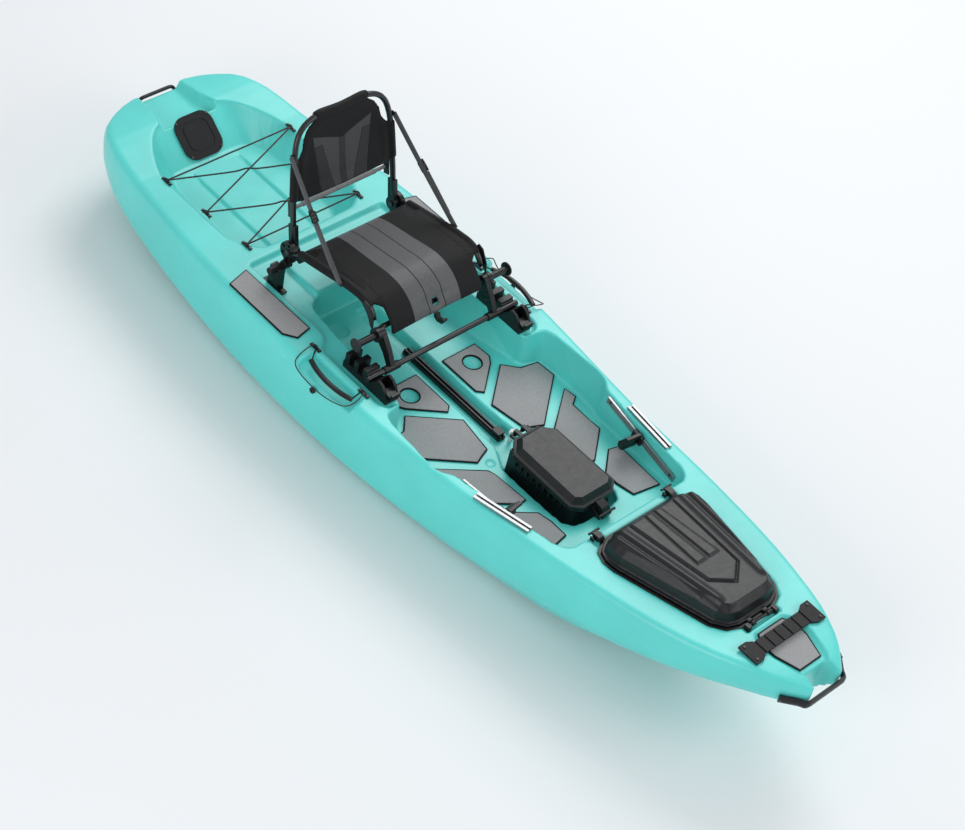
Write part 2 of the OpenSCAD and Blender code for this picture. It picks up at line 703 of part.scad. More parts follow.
track_h = 8;
track_x = 438;
track_yaw = -9.6;
track_y0 = half_w - 89;
slot_w = 8;
slot_in = 15;
track_pitch = atan2(deck_at(track_x + track_l * cos(track_yaw)) - deck_at(track_x),
  track_l * cos(track_yaw));
module on_track() {
  translate([track_x, track_y0, deck_at(track_x) + 1.6]) rotate([0, -track_pitch, track_yaw]) children();
}
track_holes = [16, track_l - 16];
module gear_tracks() {
  color(METAL) both() on_track() difference() {
    translate([0, -track_w / 2, 0]) cube([track_l, track_w, track_h]);
    translate([-1, -slot_w / 2, 2]) cube([track_l + 2, slot_w, track_h]);
    translate([-1, -slot_in / 2, 2]) cube([track_l + 2, slot_in, 3.5]);
    for (x = track_holes) screw_hole([x, 0, 2]);
  }
}

rail_yaw = atan2(-54, brace_x1 - brace_x0);
rail_fall = 4;
foot_rail_x = brace_x0 + 28;
foot_rail_h = 26;
foot_rail_t = 7;
foot_rail_z = 312;
rail_wall_gap = 4.5;
function wall_y(x) = half_w - 98 + (x - brace_x0) * tan(rail_yaw);
module on_foot_rail() {
  translate([foot_rail_x, wall_y(foot_rail_x) - rail_wall_gap, foot_rail_z])
    rotate([0, rail_fall, rail_yaw]) children();
}
tooth = 9;
module foot_rails() {
  color(METAL) both() on_foot_rail() difference() {
    translate([0, -foot_rail_t, -foot_rail_h / 2]) cube([foot_rail_l, foot_rail_t, foot_rail_h]);
    for (i = [1:floor(foot_rail_l / tooth) - 1])
      translate([i * tooth, -foot_rail_t - 1, -foot_rail_h / 2 - 1]) cube([4, foot_rail_t + 2, 5]);
    for (x = [18, foot_rail_l - 18])
      translate([x, 1, 4]) rotate([90, 0, 0]) cylinder(h = foot_rail_t + 2, d = screw_d + 0.4);
  }
}
// Pedal that rides on the rail: a clip round the rail and a wing for the foot
pedal_s = 172;
clip_l = 46;
clip_t = 4;
module foot_pedal() {
  g = rest_gap;
  color(BLACK) on_foot_rail() translate([pedal_s, 0, 0]) {
    difference() {
      translate([-clip_l / 2, -foot_rail_t - g - clip_t - 4, -foot_rail_h / 2 - g - clip_t])
        cube([clip_l, foot_rail_t + g + clip_t + 2.4, foot_rail_h + 2 * (g + clip_t)]);
      translate([-clip_l, -foot_rail_t - g, -foot_rail_h / 2 - g])
        cube([2 * clip_l, 60, foot_rail_h + 2 * g]);
    }
    translate([0, -foot_rail_t - g - clip_t, 0]) rotate([90, 0, 0])
      linear_extrude(56, convexity = 4) polygon([
        [-20, -30], [-6, -38], [6, -30], [2, -10], [16, 20], [14, 30], [2, 28], [-10, 4], [-22, -14]
      ]);
  }
}
module foot_pedal_port() { foot_pedal(); }
module foot_pedal_starboard() { starboard() foot_pedal(); }

// ---------------------------------------------------------------- side carry handles

// Each hangs by a short cord at either end, which turns on the outer side of a pad eye
handle_z = gunwale_z - 12;
handle_cord = 5;
handle_axis_y = side_eye_y + 2 + 0.5 + handle_cord / 2;
handle_axis_z = deck_at(-200) + eye_seat + 9;
handle_pivots = [
  [side_eyes[0][0] + 6, handle_axis_y, handle_axis_z],
  [side_eyes[1][0] - 6, handle_axis_y, handle_axis_z]
];
grip_path = [
  [scoop_x[0] + 30, half_w - 36, handle_z + 3], [-248, half_w - 21, handle_z + 6],
  [-188, half_w - 13, handle_z + 7], [-128, half_w - 19, handle_z + 4],
  [scoop_x[1] - 26, half_w - 34, handle_z + 3]
];
module side_handle() {
  n = len(grip_path) - 1;
  color(BLACK) {
    sweep(rounded(grip_path, 30, 3), ngon_bar(18, 13), [0, 0, 1]);
    for (e = [[0, 0, 3], [1, n, -3]]) {
      rod(handle_pivots[e[0]], grip_path[e[1]] + [e[2], 0, 0], handle_cord);
      translate(handle_pivots[e[0]]) sphere(d = handle_cord);
    }
  }
}
module side_handle_port() { side_handle(); }
module side_handle_starboard() { starboard() side_handle(); }

// Cord from eye to eye past the handle and down the hull side, with a toggle at its low point
keeper_route = [
  [-322, 361.6, 351], [-322, 382, 352], [-321, 410, 346], [-319, 432, 335], [-316, 441, 322],
  [-306, 443.6, 309], [-286, 444, 299], [-252, 444, 293], [-218, 444, 291], [-186, 444, 293],
  [-152, 444, 299], [-116, 442, 309], [-84, 438, 322], [-64, 428, 337], [-60, 406, 347],
  [-66, 380, 351], [-71, 361.6, 347]
];
module paddle_keeper_cords() {
  color(BLACK) both() sweep(
    [for (p = keeper_route) p + [0, half_w - 435, gunwale_z - 338]], ngon(4, 8), [0.1, 1, 0.2]
  );
}
module paddle_keeper_toggles() {
  at = keeper_route[8] + [0, half_w - 435, gunwale_z - 338 - 13.7];
  color(BLACK) both() difference() {
    y_rod(at, 8, 22);
    y_rod(at, 10, 9);
  }
}

// ---------------------------------------------------------------- seat mounts on the hull

rail_y = rail_gauge / 2;
hinge_l = [-176, 456];
bar_c = [-102, 363];
bar_r = crossbar_d / 2;
leg_reach = norm(bar_c - hinge_l);
leg_angle = atan2(bar_c[1] - hinge_l[1], bar_c[0] - hinge_l[0]);
saddle_x = [-222, -12];
saddle_y = [rail_y + 33, rail_y + 87];
mean_y = (saddle_y[0] + saddle_y[1]) / 2;
saddle_base = platform_z + rest_gap;
saddle_block = [20, 22];
saddle_top = bar_c[1] + 21;
cradle_back = bar_c[0] - bar_r - 0.6;
saddle_screws = [for (x = [saddle_x[0] + 30, saddle_x[0] + 72]) [x, mean_y, 346]];
module seat_saddles() {
  swept = leg_reach + bar_r + 0.6;
  pitch = saddle_block[0] + saddle_block[1];
  color(BLACK) both() difference() {
    union() {
      block([saddle_x[0], saddle_y[0], saddle_base], [saddle_x[1], saddle_y[1], saddle_base + 9]);
      block([saddle_x[0], saddle_y[0], saddle_base + 8], [cradle_back, saddle_y[1], 346]);
      for (i = [0:2])
        block([cradle_back - saddle_block[0] - i * pitch, saddle_y[0], 345],
          [cradle_back - i * pitch, saddle_y[1], saddle_top]);
      difference() {
        xz_plate([
          [cradle_back - 2, saddle_base + 8], [saddle_x[1] - 1, saddle_base + 8], [saddle_x[1] - 1, 336],
          [-26, 364], [-42, 382], [-60, 388], [-76, 382], [cradle_back - 2, 382]
        ], saddle_y[0], saddle_y[1]);
        y_rod([bar_c[0], mean_y, bar_c[1]], 80, crossbar_d + 2 * rest_gap);
        intersection() {
          y_rod([hinge_l[0], mean_y, hinge_l[1]], 80, 2 * swept);
          xz_plate([
            hinge_l, hinge_l + 300 * [cos(leg_angle), sin(leg_angle)], hinge_l + [300, 0],
            hinge_l + [200, 300]
          ], saddle_y[0] - 5, saddle_y[1] + 5);
        }
      }
    }
    block([-66, saddle_y[0] + 9, 332], [0, saddle_y[1] - 9, 420]);
    for (p = saddle_screws) translate([p[0], p[1], 0]) cylinder(h = 400, d = screw_d + 0.4);
  }
}
// Ribbed lever between the two front horns of a saddle
saddle_pivot = [-32, 345];
module saddle_latch() {
  color(BLACK) difference() {
    union() {
      xz_plate([
        [-46, 336], [-20, 336], [-2, 346], [2, 366], [-5, 367], [-10, 352], [-24, 356], [-46, 356]
      ], saddle_y[0] + 9.6, saddle_y[1] - 9.6);
      for (i = [0:2])
        block([-1 + i * 0.2, saddle_y[0] + 9.6, 349 + 6 * i], [3, saddle_y[1] - 9.6, 352 + 6 * i]);
    }
    y_rod([saddle_pivot[0], mean_y, saddle_pivot[1]], 80, 6);
  }
  color(METAL) y_rod([saddle_pivot[0], mean_y, saddle_pivot[1]], saddle_y[1] - saddle_y[0] - 18.9, 6);
}
module saddle_latch_port() { saddle_latch(); }
module saddle_latch_starboard() { starboard() saddle_latch(); }

// Rear support: a horizontal post on the seat lies in an open cradle
post_c = [-620, 405];
post_d = 26;
cradle_y = [rail_y + 27, rail_y + 55];
cradle_screws = [for (x = [post_c[0] - 36, post_c[0] + 36]) [x, (cradle_y[0] + cradle_y[1]) / 2,
  saddle_base + 8]];
module rear_cradles() {
  color(BLACK) both() difference() {
    union() {
      block([post_c[0] - 46, cradle_y[0], saddle_base], [post_c[0] + 46, cradle_y[1], saddle_base + 8]);
      xz_plate([
        [post_c[0] - 26, saddle_base + 1], [post_c[0] + 26, saddle_base + 1], [post_c[0] + 22, post_c[1] + 6],
        [post_c[0] - 22, post_c[1] + 6]
      ], cradle_y[0], cradle_y[1]);
    }
    y_rod([post_c[0], rail_y + 41, post_c[1]], 60, post_d + 2 * rest_gap);
    block([post_c[0] - post_d / 2 - rest_gap, cradle_y[0] - 1, post_c[1]],
      [post_c[0] + post_d / 2 + rest_gap, cradle_y[1] + 1, post_c[1] + 40]);
    for (p = cradle_screws) screw_hole(p);
  }
}

// ---------------------------------------------------------------- centre track

ctrack_y = 6;
ctrack_x = [-250, 225];
ctrack_z = channel_z + rest_gap;
ctrack_top = ctrack_z + 20;
module centre_track() {
  color(BLACK) difference() {
    block([ctrack_x[0], ctrack_y - 15, ctrack_z], [ctrack_x[1], ctrack_y + 15, ctrack_top]);
    block([ctrack_x[0] - 1, ctrack_y - 4, ctrack_z + 8], [ctrack_x[1] + 1, ctrack_y + 4, 600]);
    for (s = [-1, 1])
      block([ctrack_x[0] - 1, ctrack_y + s * 13 - 3, ctrack_top - 7],
        [ctrack_x[1] + 1, ctrack_y + s * 13 + 3, 600]);
  }
}
// Slider that rides in the track's slot
slider_l = 34;
module track_slider() {
  x = ctrack_x[1] - slider_l - 6;
  g = rest_gap;
  color(BLACK) {
    block([x + 2, ctrack_y - 4 + g, ctrack_z + 8 + g],
      [x + slider_l - 2, ctrack_y + 4 - g, ctrack_top + 3]);
    block([x, ctrack_y - 14, ctrack_top + g], [x + slider_l, ctrack_y + 14, ctrack_top + 8]);
  }
}

// ---------------------------------------------------------------- bow hatch

rim_z = 0.4;
seal_w = 8;
seal_t = 3.5;
flange_t = 5;
flange_z = rim_z + rim_t + seal_t + 0.2;
lid_wall = 4;
module hatch_band(g1, g0, z0, z1) {
  translate([0, 0, z0]) linear_extrude(z1 - z0) difference() {
    polygon(whole(hatch_half(g1)));
    polygon(whole(hatch_half(g0)));
  }
}
module hatch_rim() {
  color(BLACK) on_hatch() hatch_band(rim_w, -land_w, rim_z, rim_z + rim_t);
}
module hatch_gasket() {
  color(BLACK) on_hatch() hatch_band(0, -seal_w, rim_z + rim_t, rim_z + rim_t + seal_t);
}
hinge_d = 9;
latch_z = 8;
latch_pin = 6;
ear_y = [15.4, 20];
hinge_z = 12;
arm_y = [26, 44];
module hatch_lid() {
  g = 6;
  color(BLACK) on_hatch() {
    difference() {
      union() {
        translate([0, 0, flange_z]) linear_extrude(flange_t) polygon(whole(hatch_half(g)));
        skin([
          at_z(whole(hatch_half(-6)), flange_z + flange_t - 1),
          at_z(whole(hatch_half(-12)), flange_z + flange_t + 0.6 * dome_h),
          at_z(whole(hatch_half(-32)), flange_z + flange_t + dome_h)
        ]);
      }
      skin([
        at_z(whole(hatch_half(-10)), flange_z - 1),
        at_z(whole(hatch_half(-10 - lid_wall)), flange_z + flange_t + 0.6 * dome_h - lid_wall),
        at_z(whole(hatch_half(-33)), flange_z + flange_t + dome_h - lid_wall)
      ]);
    }
    both() difference() {
      union() {
        block([hatch_l + 2, arm_y[0], flange_z], [hinge_x, arm_y[1], flange_z + 6]);
        y_rod([hinge_x, (arm_y[0] + arm_y[1]) / 2, hinge_z], arm_y[1] - arm_y[0], hinge_d + 8);
      }
      y_rod([hinge_x, (arm_y[0] + arm_y[1]) / 2, hinge_z], 40, hinge_d + 2 * run_gap);
    }
  }
}
// Two posts on the deck hold the bar that the lid turns on
module hatch_hinge_base() {
  color(BLACK) on_hatch() both() difference() {
    union() {
      block([hinge_x - 8, hinge_w / 2 - 14, rim_z], [hinge_x + 12, hinge_w / 2, hinge_z + 8]);
      for (s = [0, 1])
        block([latch_x - 7, latch_y - ear_y[1] + s * (ear_y[0] + ear_y[1]), rim_z],
          [latch_x + 7, latch_y - ear_y[0] + s * (ear_y[0] + ear_y[1]), latch_z + 6]);
    }
    y_rod([hinge_x, hinge_w / 2, hinge_z], 60, hinge_d + 2 * run_gap);
    y_rod([latch_x, latch_y, latch_z], 60, latch_pin + 2 * run_gap);
  }
}
module hatch_hinge_bar() {
  color(BLACK) on_hatch() y_rod([hinge_x, 0, hinge_z], hinge_w + 4, hinge_d);
}
// Latch: a pivot foot on the deck and a claw that bears on the edge of the lid
module hatch_latch() {
  color(BLACK) on_hatch() translate([latch_x, latch_y, 0]) {
    y_rod([0, 0, latch_z], 2 * ear_y[0] - 0.8, 12);
    y_rod([0, 0, latch_z], 2 * ear_y[1], latch_pin);
    xz_plate([
      [0, latch_z - 5], [14, latch_z - 4], [19, 6.4], [27.3, 9], [27.3, 16], [20, 22], [4, 24], [-14, 22],
      [-18, 16], [-6, latch_z + 4]
    ], -10, 10);
    y_rod([-12, 0, 20], 44, 8);
  }
}
module hatch_latch_port() { hatch_latch(); }
module hatch_latch_starboard() { starboard() hatch_latch(); }

// ---------------------------------------------------------------- dry pod

pod_mid = pod_x0 + pod_l / 2;
pod_wall = 3;
pod_seal = 3;
lid_z = pod_flange_z + pod_seal + 0.2;
lid_h = 32;
platch = [pod_x1 + 36, pod_flange_z - 26];
latch_ear = [20, 26];
function pod_half(g) = [
  [pod_x0 - g, 0], [pod_x0 - g, pod_w / 2 - 48 + g * 0.4], [pod_x0 + 46 - g * 0.5, pod_w / 2 - 2 + g],
  [pod_x1 - 30 + g * 0.3, pod_w / 2 + g], [pod_x1 + g, pod_w / 2 - 34 + g * 0.4], [pod_x1 + g, 0]
];
module pod_box() {
  z0 = pod_flange_z - pod_d;
  color(BLACK) difference() {
    union() {
      block([pod_x0 + 18, -pod_box_w / 2, z0], [pod_x1 - 18, pod_box_w / 2, pod_flange_z - 1]);
      translate([0, 0, pod_flange_z - 6]) linear_extrude(6) polygon(whole(pod_half(0)));
      both() for (i = [0:8])
        block([pod_x0 + 58 + 26 * i, pod_box_w / 2 - 1, pod_flange_z - 40],
          [pod_x0 + 62 + 26 * i, pod_w / 2 - 6, pod_flange_z - 5]);
      both() xz_plate([
        [pod_x1 - 6, pod_flange_z - 5], [pod_x1 + 16, pod_flange_z - 12], [platch[0] + 8, platch[1] + 4],
        [platch[0] + 5, platch[1] - 7], [platch[0] - 8, platch[1] - 7], [pod_x1 - 14, pod_flange_z - 26]
      ], latch_ear[0], latch_ear[1]);
    }
    y_rod([platch[0], 0, platch[1]], 100, latch_pin + 2 * run_gap);
    block([pod_x0 + 18 + pod_wall, pod_wall - pod_box_w / 2, z0 + pod_wall],
      [pod_x1 - 18 - pod_wall, pod_box_w / 2 - pod_wall, 600]);
  }
}
module pod_gasket() {
  color(BLACK) translate([0, 0, pod_flange_z]) linear_extrude(pod_seal) difference() {
    polygon(whole(pod_half(-3)));
    polygon(whole(pod_half(-9)));
  }
}
pod_hinge = [pod_x0 - 24, pod_flange_z - 6];
pod_bar_w = 78;
module pod_lid() {
  color(BLACK) {
    difference() {
      skin([
        at_z(whole(pod_half(0)), lid_z), at_z(whole(pod_half(0)), lid_z + 9),
        at_z(whole(pod_half(-9)), lid_z + 11), at_z(whole(pod_half(-24)), lid_z + lid_h)
      ]);
      skin([
        at_z(whole(pod_half(-12)), lid_z - 1), at_z(whole(pod_half(-14)), lid_z + 11 - pod_wall),
        at_z(whole(pod_half(-27)), lid_z + lid_h - pod_wall)
      ]);
    }
    both() difference() {
      union() {
        block([pod_hinge[0], 10, lid_z], [pod_x0 + 1, 24, lid_z + 7]);
        xz_plate([
          [pod_hinge[0] - 7, pod_hinge[1]], [pod_hinge[0] + 7, pod_hinge[1]],
          [pod_hinge[0] + 7, lid_z + 6], [pod_hinge[0] - 7, lid_z + 6]
        ], 10, 24);
        y_rod([pod_hinge[0], 17, pod_hinge[1]], 14, 14);
      }
      y_rod([pod_hinge[0], 17, pod_hinge[1]], 30, 8 + 2 * run_gap);
    }
  }
}
// Bar that the pod lid turns on, held by two ears of the pod box's flange
module pod_hinge_bar() {
  color(BLACK) {
    y_rod([pod_hinge[0], 0, pod_hinge[1]], pod_bar_w, 8);
    both() {
      y_rod([pod_hinge[0], pod_bar_w / 2 - 4, pod_hinge[1]], 8, 13);
      block([pod_hinge[0], pod_bar_w / 2 - 8, pod_flange_z - 9], [pod_x0 - 0.3, pod_bar_w / 2, pod_flange_z - 1]);
    }
  }
}
// Latch at the fore end of the pod, hinged on a foot that stands on the cockpit floor
module pod_latch() {
  color(BLACK) {
    y_rod([platch[0], 0, platch[1]], 2 * latch_ear[1], latch_pin);
    y_rod([platch[0], 0, platch[1]], 2 * latch_ear[0] - 0.8, 12);
    xz_plate([
      [platch[0] - 32, 270], [platch[0] - 6, 256], [platch[0] + 10, 258], [platch[0] + 14, 276],
      [platch[0] - 4, 296], [platch[0] - 32, 302], [platch[0] - 35, 300], [platch[0] - 35, 290],
      [platch[0] - 32, 288]
    ], -16, 16);
    y_rod([platch[0] + 8, 0, 280], 70, 9);
  }
}
module pod_cable_plug() {
  color("white") {
    translate([240, 28, channel_z + rest_gap]) cylinder(h = 50, d = 14);
    y_rod([240, 28, channel_z + 46], 26, 9);
  }
}

// ---------------------------------------------------------------- seat base

recline_c = [-620, 455];
rail_path = [
  [-592, 464], [-557, 484], [-480, 504], [-362, 530], [-285, 541], [-248, 536], [-222, 514],
  [-209, 492]
];
function rail_at(y) = [for (p = rail_path) [p[0], y, p[1]]];
cross_c = [-572, 450];
front_d = 18;
module seat_frame() {
  color(BLACK) {
    both() sweep(rounded(rail_at(rail_y), 30, 3), ngon(rail_d, 12), [0, 1, 0]);
    y_rod([cross_c[0], 0, cross_c[1]], 2 * rail_y - 2, rail_d - 4);
    both() xz_plate([
      [cross_c[0] - 7, cross_c[1]], [cross_c[0] + 7, cross_c[1]], [-548, 484], [-564, 484]
    ], rail_y - 9, rail_y - 2);
    y_rod([hinge_l[0] - 14, 0, hinge_l[1] + 6], 2 * (lever_y[0] - 4.5), front_d);
  }
}
// Profile of the sling's upper face, and its offset by the fabric's thickness
sling_top = [
  [-574, 484], [-550, 499], [-510, 511], [-450, 521], [-380, 532], [-320, 543], [-275, 548],
  [-240, 543], [-210, 529], [-184, 505], [-162, 477], [-149, 450]
];
function off_line(p, d) = [
  for (i = [0:len(p) - 1])
    let (t = unit(p[min(i + 1, len(p) - 1)] - p[max(i - 1, 0)])) p[i] + d * [t[1], -t[0]]
];
sling_half = rail_y - rail_d / 2 - rest_gap;
sling_neck = rail_y - 38;
sling_plan = [
  [-600, sling_neck], [-522, sling_neck], [-506, sling_half], [-236, sling_half],
  [-216, sling_neck], [-120, sling_neck]
];
module seat_sling() {
  low = off_line(sling_top, sling_t);
  color(BLACK) difference() {
    intersection() {
      xz_plate(concat(sling_top, [for (i = [len(low) - 1:-1:0]) low[i]]), -sling_half, sling_half);
      linear_extrude(700) polygon(whole(sling_plan));
    }
    translate([-172, 0, 480]) rotate([0, 63, 0]) cylinder(h = 80, d = 28, center = true);
  }
}
// Hook at the middle of the sling's front edge
module seat_hook() {
  color(BLACK) xz_plate([
    [-159.4, 443.9], [-148.9, 449.4], [-140, 434], [-126, 438], [-117, 450], [-110, 446],
    [-117, 428], [-140, 422], [-154, 430]
  ], -9, 9);
}

// ---------------------------------------------------------------- folding front legs

hub_y = [rail_y + 1, rail_y + 15];
lever_y = [rail_y - 18, rail_y];
hub_d = 48;
shank_r = pin_d / 2;
// Socket on the rail end with the fixed half of the leg hinge
module leg_hubs() {
  a = [hinge_l[0], hinge_l[1]];
  color(BLACK) both() difference() {
    union() {
      y_rod([a[0], (hub_y[0] + hub_y[1]) / 2, a[1]], hub_y[1] - hub_y[0], hub_d);
      xz_plate([
        [-204, 474], [-192, 466], [-196, 500], [-226, 546], [-248, 552], [-258, 532], [-226, 508]
      ], rail_y + rail_d / 2 + 0.2, hub_y[1]);
    }
    y_rod([a[0], rail_y, a[1]], 80, pin_d + 2 * run_gap);
  }
}
// Pin of the leg hinge; its outer end is the post the seat stands on in its low position
post_out = 333;
module leg_pins() {
  color(BLACK) both() {
    rod([hinge_l[0], lever_y[0] - 4, hinge_l[1]], [hinge_l[0], hub_y[1] + 2, hinge_l[1]], pin_d);
    rod([hinge_l[0], lever_y[0] - 4, hinge_l[1]], [hinge_l[0], lever_y[0] - 0.3, hinge_l[1]], 20);
    rod([hinge_l[0], hub_y[1] + 0.3, hinge_l[1]], [hinge_l[0], rail_y + 94, hinge_l[1]], 24);
    rod([hinge_l[0], rail_y + 93, hinge_l[1]], [hinge_l[0], rail_y + 98, hinge_l[1]], 48);
  }
}
sleeve_d = crossbar_d + 8;
module front_legs() {
  u = unit(bar_c - hinge_l);
  n = [-u[1], u[0]];
  color(BLACK) both() difference() {
    union() {
      y_rod([hinge_l[0], (lever_y[0] + lever_y[1]) / 2, hinge_l[1]], lever_y[1] - lever_y[0], hub_d - 4);
      xz_plate([
        hinge_l + 21 * n, hinge_l + 0.5 * leg_reach * u + 21 * n, bar_c + 12 * n,
        bar_c - 12 * n, hinge_l + 0.55 * leg_reach * u - 9 * n, hinge_l - 21 * n
      ], lever_y[0], lever_y[1]);
      y_rod([bar_c[0], rail_y - 8, bar_c[1]], 62, sleeve_d);
    }
    y_rod([hinge_l[0], rail_y, hinge_l[1]], 80, pin_d + 2 * run_gap);
    y_rod([bar_c[0], rail_y, bar_c[1]], 160, crossbar_d + 2 * run_gap);
    for (i = [0:2]) for (s = [0, 1]) {
      c = hinge_l + (38 + 18 * i) * u + (s == 0 ? 11 : -3) * n;
      y_rod([c[0], rail_y, c[1]], 80, 5);
    }
  }
}
module crossbar() {
  color(BLACK) difference() {
    y_rod([bar_c[0], 0, bar_c[1]], 2 * (rail_y + 93), crossbar_d);
    y_rod([bar_c[0], 0, bar_c[1]], 2 * (rail_y + 93) + 2, crossbar_d - 4);
  }
}
module crossbar_caps() {
  color(BLACK) both() {
    rod([bar_c[0], rail_y + 80, bar_c[1]], [bar_c[0], rail_y + 93, bar_c[1]], crossbar_d - 4);
    rod([bar_c[0], rail_y + 93, bar_c[1]], [bar_c[0], rail_y + 96, bar_c[1]], crossbar_d);
  }
}

// ---------------------------------------------------------------- rear posts and backrest

plate_y = [rail_y - 7.4, rail_y + 7];
disc_d = 76;
module recliner_plates() {
  color(BLACK) both() difference() {
    union() {
      y_rod([recline_c[0], (plate_y[0] + plate_y[1]) / 2, recline_c[1]], plate_y[1] - plate_y[0], disc_d);
      block([post_c[0] - 15, plate_y[0], post_c[1]], [post_c[0] + 15, plate_y[1], recline_c[1]]);
      y_rod([post_c[0], (plate_y[0] + plate_y[1]) / 2, post_c[1]], plate_y[1] - plate_y[0], 34);
    }
    y_rod([recline_c[0], rail_y, recline_c[1]], 80, pin_d + 2 * run_gap);
    for (i = [0:5])
      y_rod([recline_c[0], rail_y + 8, recline_c[1]]
        + disc_d * 0.35 * [cos(60 * i + 30), 0, sin(60 * i + 30)], 14, 11);
    both() sweep(rounded(rail_at(rail_y), 30, 3), ngon(rail_d + 0.6, 12), [0, 1, 0]);
  }
}
module rear_posts() {
  color(BLACK) both() {
    rod([post_c[0], plate_y[1] + 0.2, post_c[1]], [post_c[0], rail_y + 78, post_c[1]], post_d);
    rod([post_c[0], plate_y[1] + 0.2, post_c[1]], [post_c[0], plate_y[1] + 12, post_c[1]], post_d + 6);
  }
}
arm_in = [rail_y - 27, rail_y - 11.6];
module recliner_pins() {
  color(METAL) both() {
    rod([recline_c[0], arm_in[0] - 3, recline_c[1]], [recline_c[0], plate_y[1] + 3, recline_c[1]], pin_d);
    rod([recline_c[0], arm_in[0] - 5, recline_c[1]], [recline_c[0], arm_in[0] - 0.3, recline_c[1]], 20);
    rod([recline_c[0], plate_y[1] + 0.3, recline_c[1]], [recline_c[0], plate_y[1] + 5, recline_c[1]], 20);
  }
}
// The backrest is drawn upright on its hinge line and leans back by back_lean
module on_back() {
  translate([recline_c[0], 0, recline_c[1]]) rotate([0, -back_lean, 0]) children();
}
back_y = rail_y - 18;
back_foot = 34;
// Half outline of the backrest tube: [y, height]; the top bends aft
back_curve = [
  [back_y, back_foot], [back_y - 1, 0.3 * back_h], [back_y - 8, 0.58 * back_h],
  [back_y - 14, 0.75 * back_h], [back_y - 30, 0.88 * back_h], [back_y - 66, 0.955 * back_h],
  [back_y - 130, 0.99 * back_h], [0, back_h - back_tube_d / 2]
];
function aft_bend(z) = z > 0.7 * back_h ? -0.08 * (z - 0.7 * back_h) : 0;
back_path = concat(
  [for (p = back_curve) [aft_bend(p[1]), p[0], p[1]]],
  [for (i = [len(back_curve) - 2:-1:0])
    [aft_bend(back_curve[i][1]), -back_curve[i][0], back_curve[i][1]]]
);
module back_frame() {
  color(BLACK) on_back() sweep(rounded(back_path, 40, 3), ngon(back_tube_d, 12), [1, 0, 0.01]);
}
module recliner_arms() {
  m = (arm_in[0] + arm_in[1]) / 2;
  color(BLACK) both() on_back() difference() {
    union() {
      y_rod([0, m, 0], arm_in[1] - arm_in[0], 50);
      block([-16, arm_in[0], 0], [16, arm_in[1], 96]);
    }
    y_rod([0, m, 0], 60, pin_d + 2 * run_gap);
    translate([0, back_y, back_foot - 0.3]) cylinder(h = 200, d = back_tube_d + 1.2);
  }
}
// Back sling: hem at the bottom, wings up to the cut-outs, narrow neck to the top tube
module back_sling() {
  y0 = back_y - back_tube_d / 2 - 1;
  half = [
    [0, 0.35 * back_h], [y0 - 30, 0.365 * back_h], [y0 - 4, 0.39 * back_h],
    [y0 - 12, 0.69 * back_h], [y0 - 46, 0.76 * back_h], [y0 - 54, 0.86 * back_h],
    [y0 - 76, 0.915 * back_h], [y0 - 120, 0.945 * back_h], [0, 0.955 * back_h]
  ];
  outline = concat(
    [for (p = half) [p[0], p[1] ]],
    [for (i = [len(half) - 2:-1:1]) [-half[i][0], half[i][1]]]
  );
  color(BLACK) on_back() translate([-5, 0, 0]) rotate([0, -1.5, 0]) rotate([90, 0, 90])
    linear_extrude(sling_t) polygon(outline);
}
// Toothed racks on the backrest tube, and the lumbar bar that slides on them
rack_z = [0.24 * back_h, 0.37 * back_h];
module lumbar_racks() {
  color(BLACK) both() on_back() difference() {
    block([-back_tube_d / 2 - 22, back_y - 14, rack_z[0]],
      [-back_tube_d / 2 + 4, back_y - 6, rack_z[1]]);
    translate([0, back_y - 2, 0]) cylinder(h = back_h, d = back_tube_d + 3);
    for (i = [0:5])
      y_rod([-back_tube_d / 2 - 23, back_y - 10, rack_z[0] + 8 + 9 * i], 20, 5);
  }
}
lumbar_z = 0.3 * back_h;
module lumbar_bar() {
  x = -back_tube_d / 2 - 14;
  color(METAL) on_back() {
    y_rod([x, 0, lumbar_z], 2 * (back_y - 14.4), 13);
    y_rod([x, 0, lumbar_z], 2 * (back_y - 60), 17);
  }
}

// ---------------------------------------------------------------- straps

upper_h = 0.755 * back_h;
upper_y = back_y - 4;
a_lean = back_lean;
upper_c = recline_c + [-upper_h * sin(a_lean), upper_h * cos(a_lean)];
lower_c = [-362, 530];
strap_w = 25;
web_t = 2.4;
upper_web = [upper_c[0], upper_y + 5, upper_c[1]];
lower_web = [lower_c[0], rail_y + rail_d / 2 + 6.6, lower_c[1]];
module back_straps() {
  color("#55575a") both()
    sweep([for (t = [0, 0.25, 0.5, 0.75, 1]) mix(upper_web, lower_web, t)], bar(strap_w, web_t), [0, 1, 0]);
}
module strap_buckles() {
  d = lower_web - upper_web;
  c = mix(upper_web, lower_web, 0.47);
  color(BLACK) both() translate(c)
    rotate([0, acos(d[2] / norm(d)), 0]) rotate([atan2(-d[1], norm([d[0], d[2]])), 0, 0]) difference() {
      cube([strap_w + 8, 9, 36], center = true);
      cube([strap_w + 1, web_t + 1, 60], center = true);
    }
}
module strap_lower_anchors() {
  color(BLACK) both() difference() {
    rod([lower_c[0], rail_y + rail_d / 2 + 0.2, lower_c[1]],
      [lower_c[0], rail_y + rail_d / 2 + 4.4, lower_c[1]], 20);
  }
}
module strap_upper_anchors() {
  color(BLACK) both()
    rod([upper_c[0], upper_y + 0.2, upper_c[1]], [upper_c[0], upper_y + 3.4, upper_c[1]], 16);
}

// ---------------------------------------------------------------- deck screws

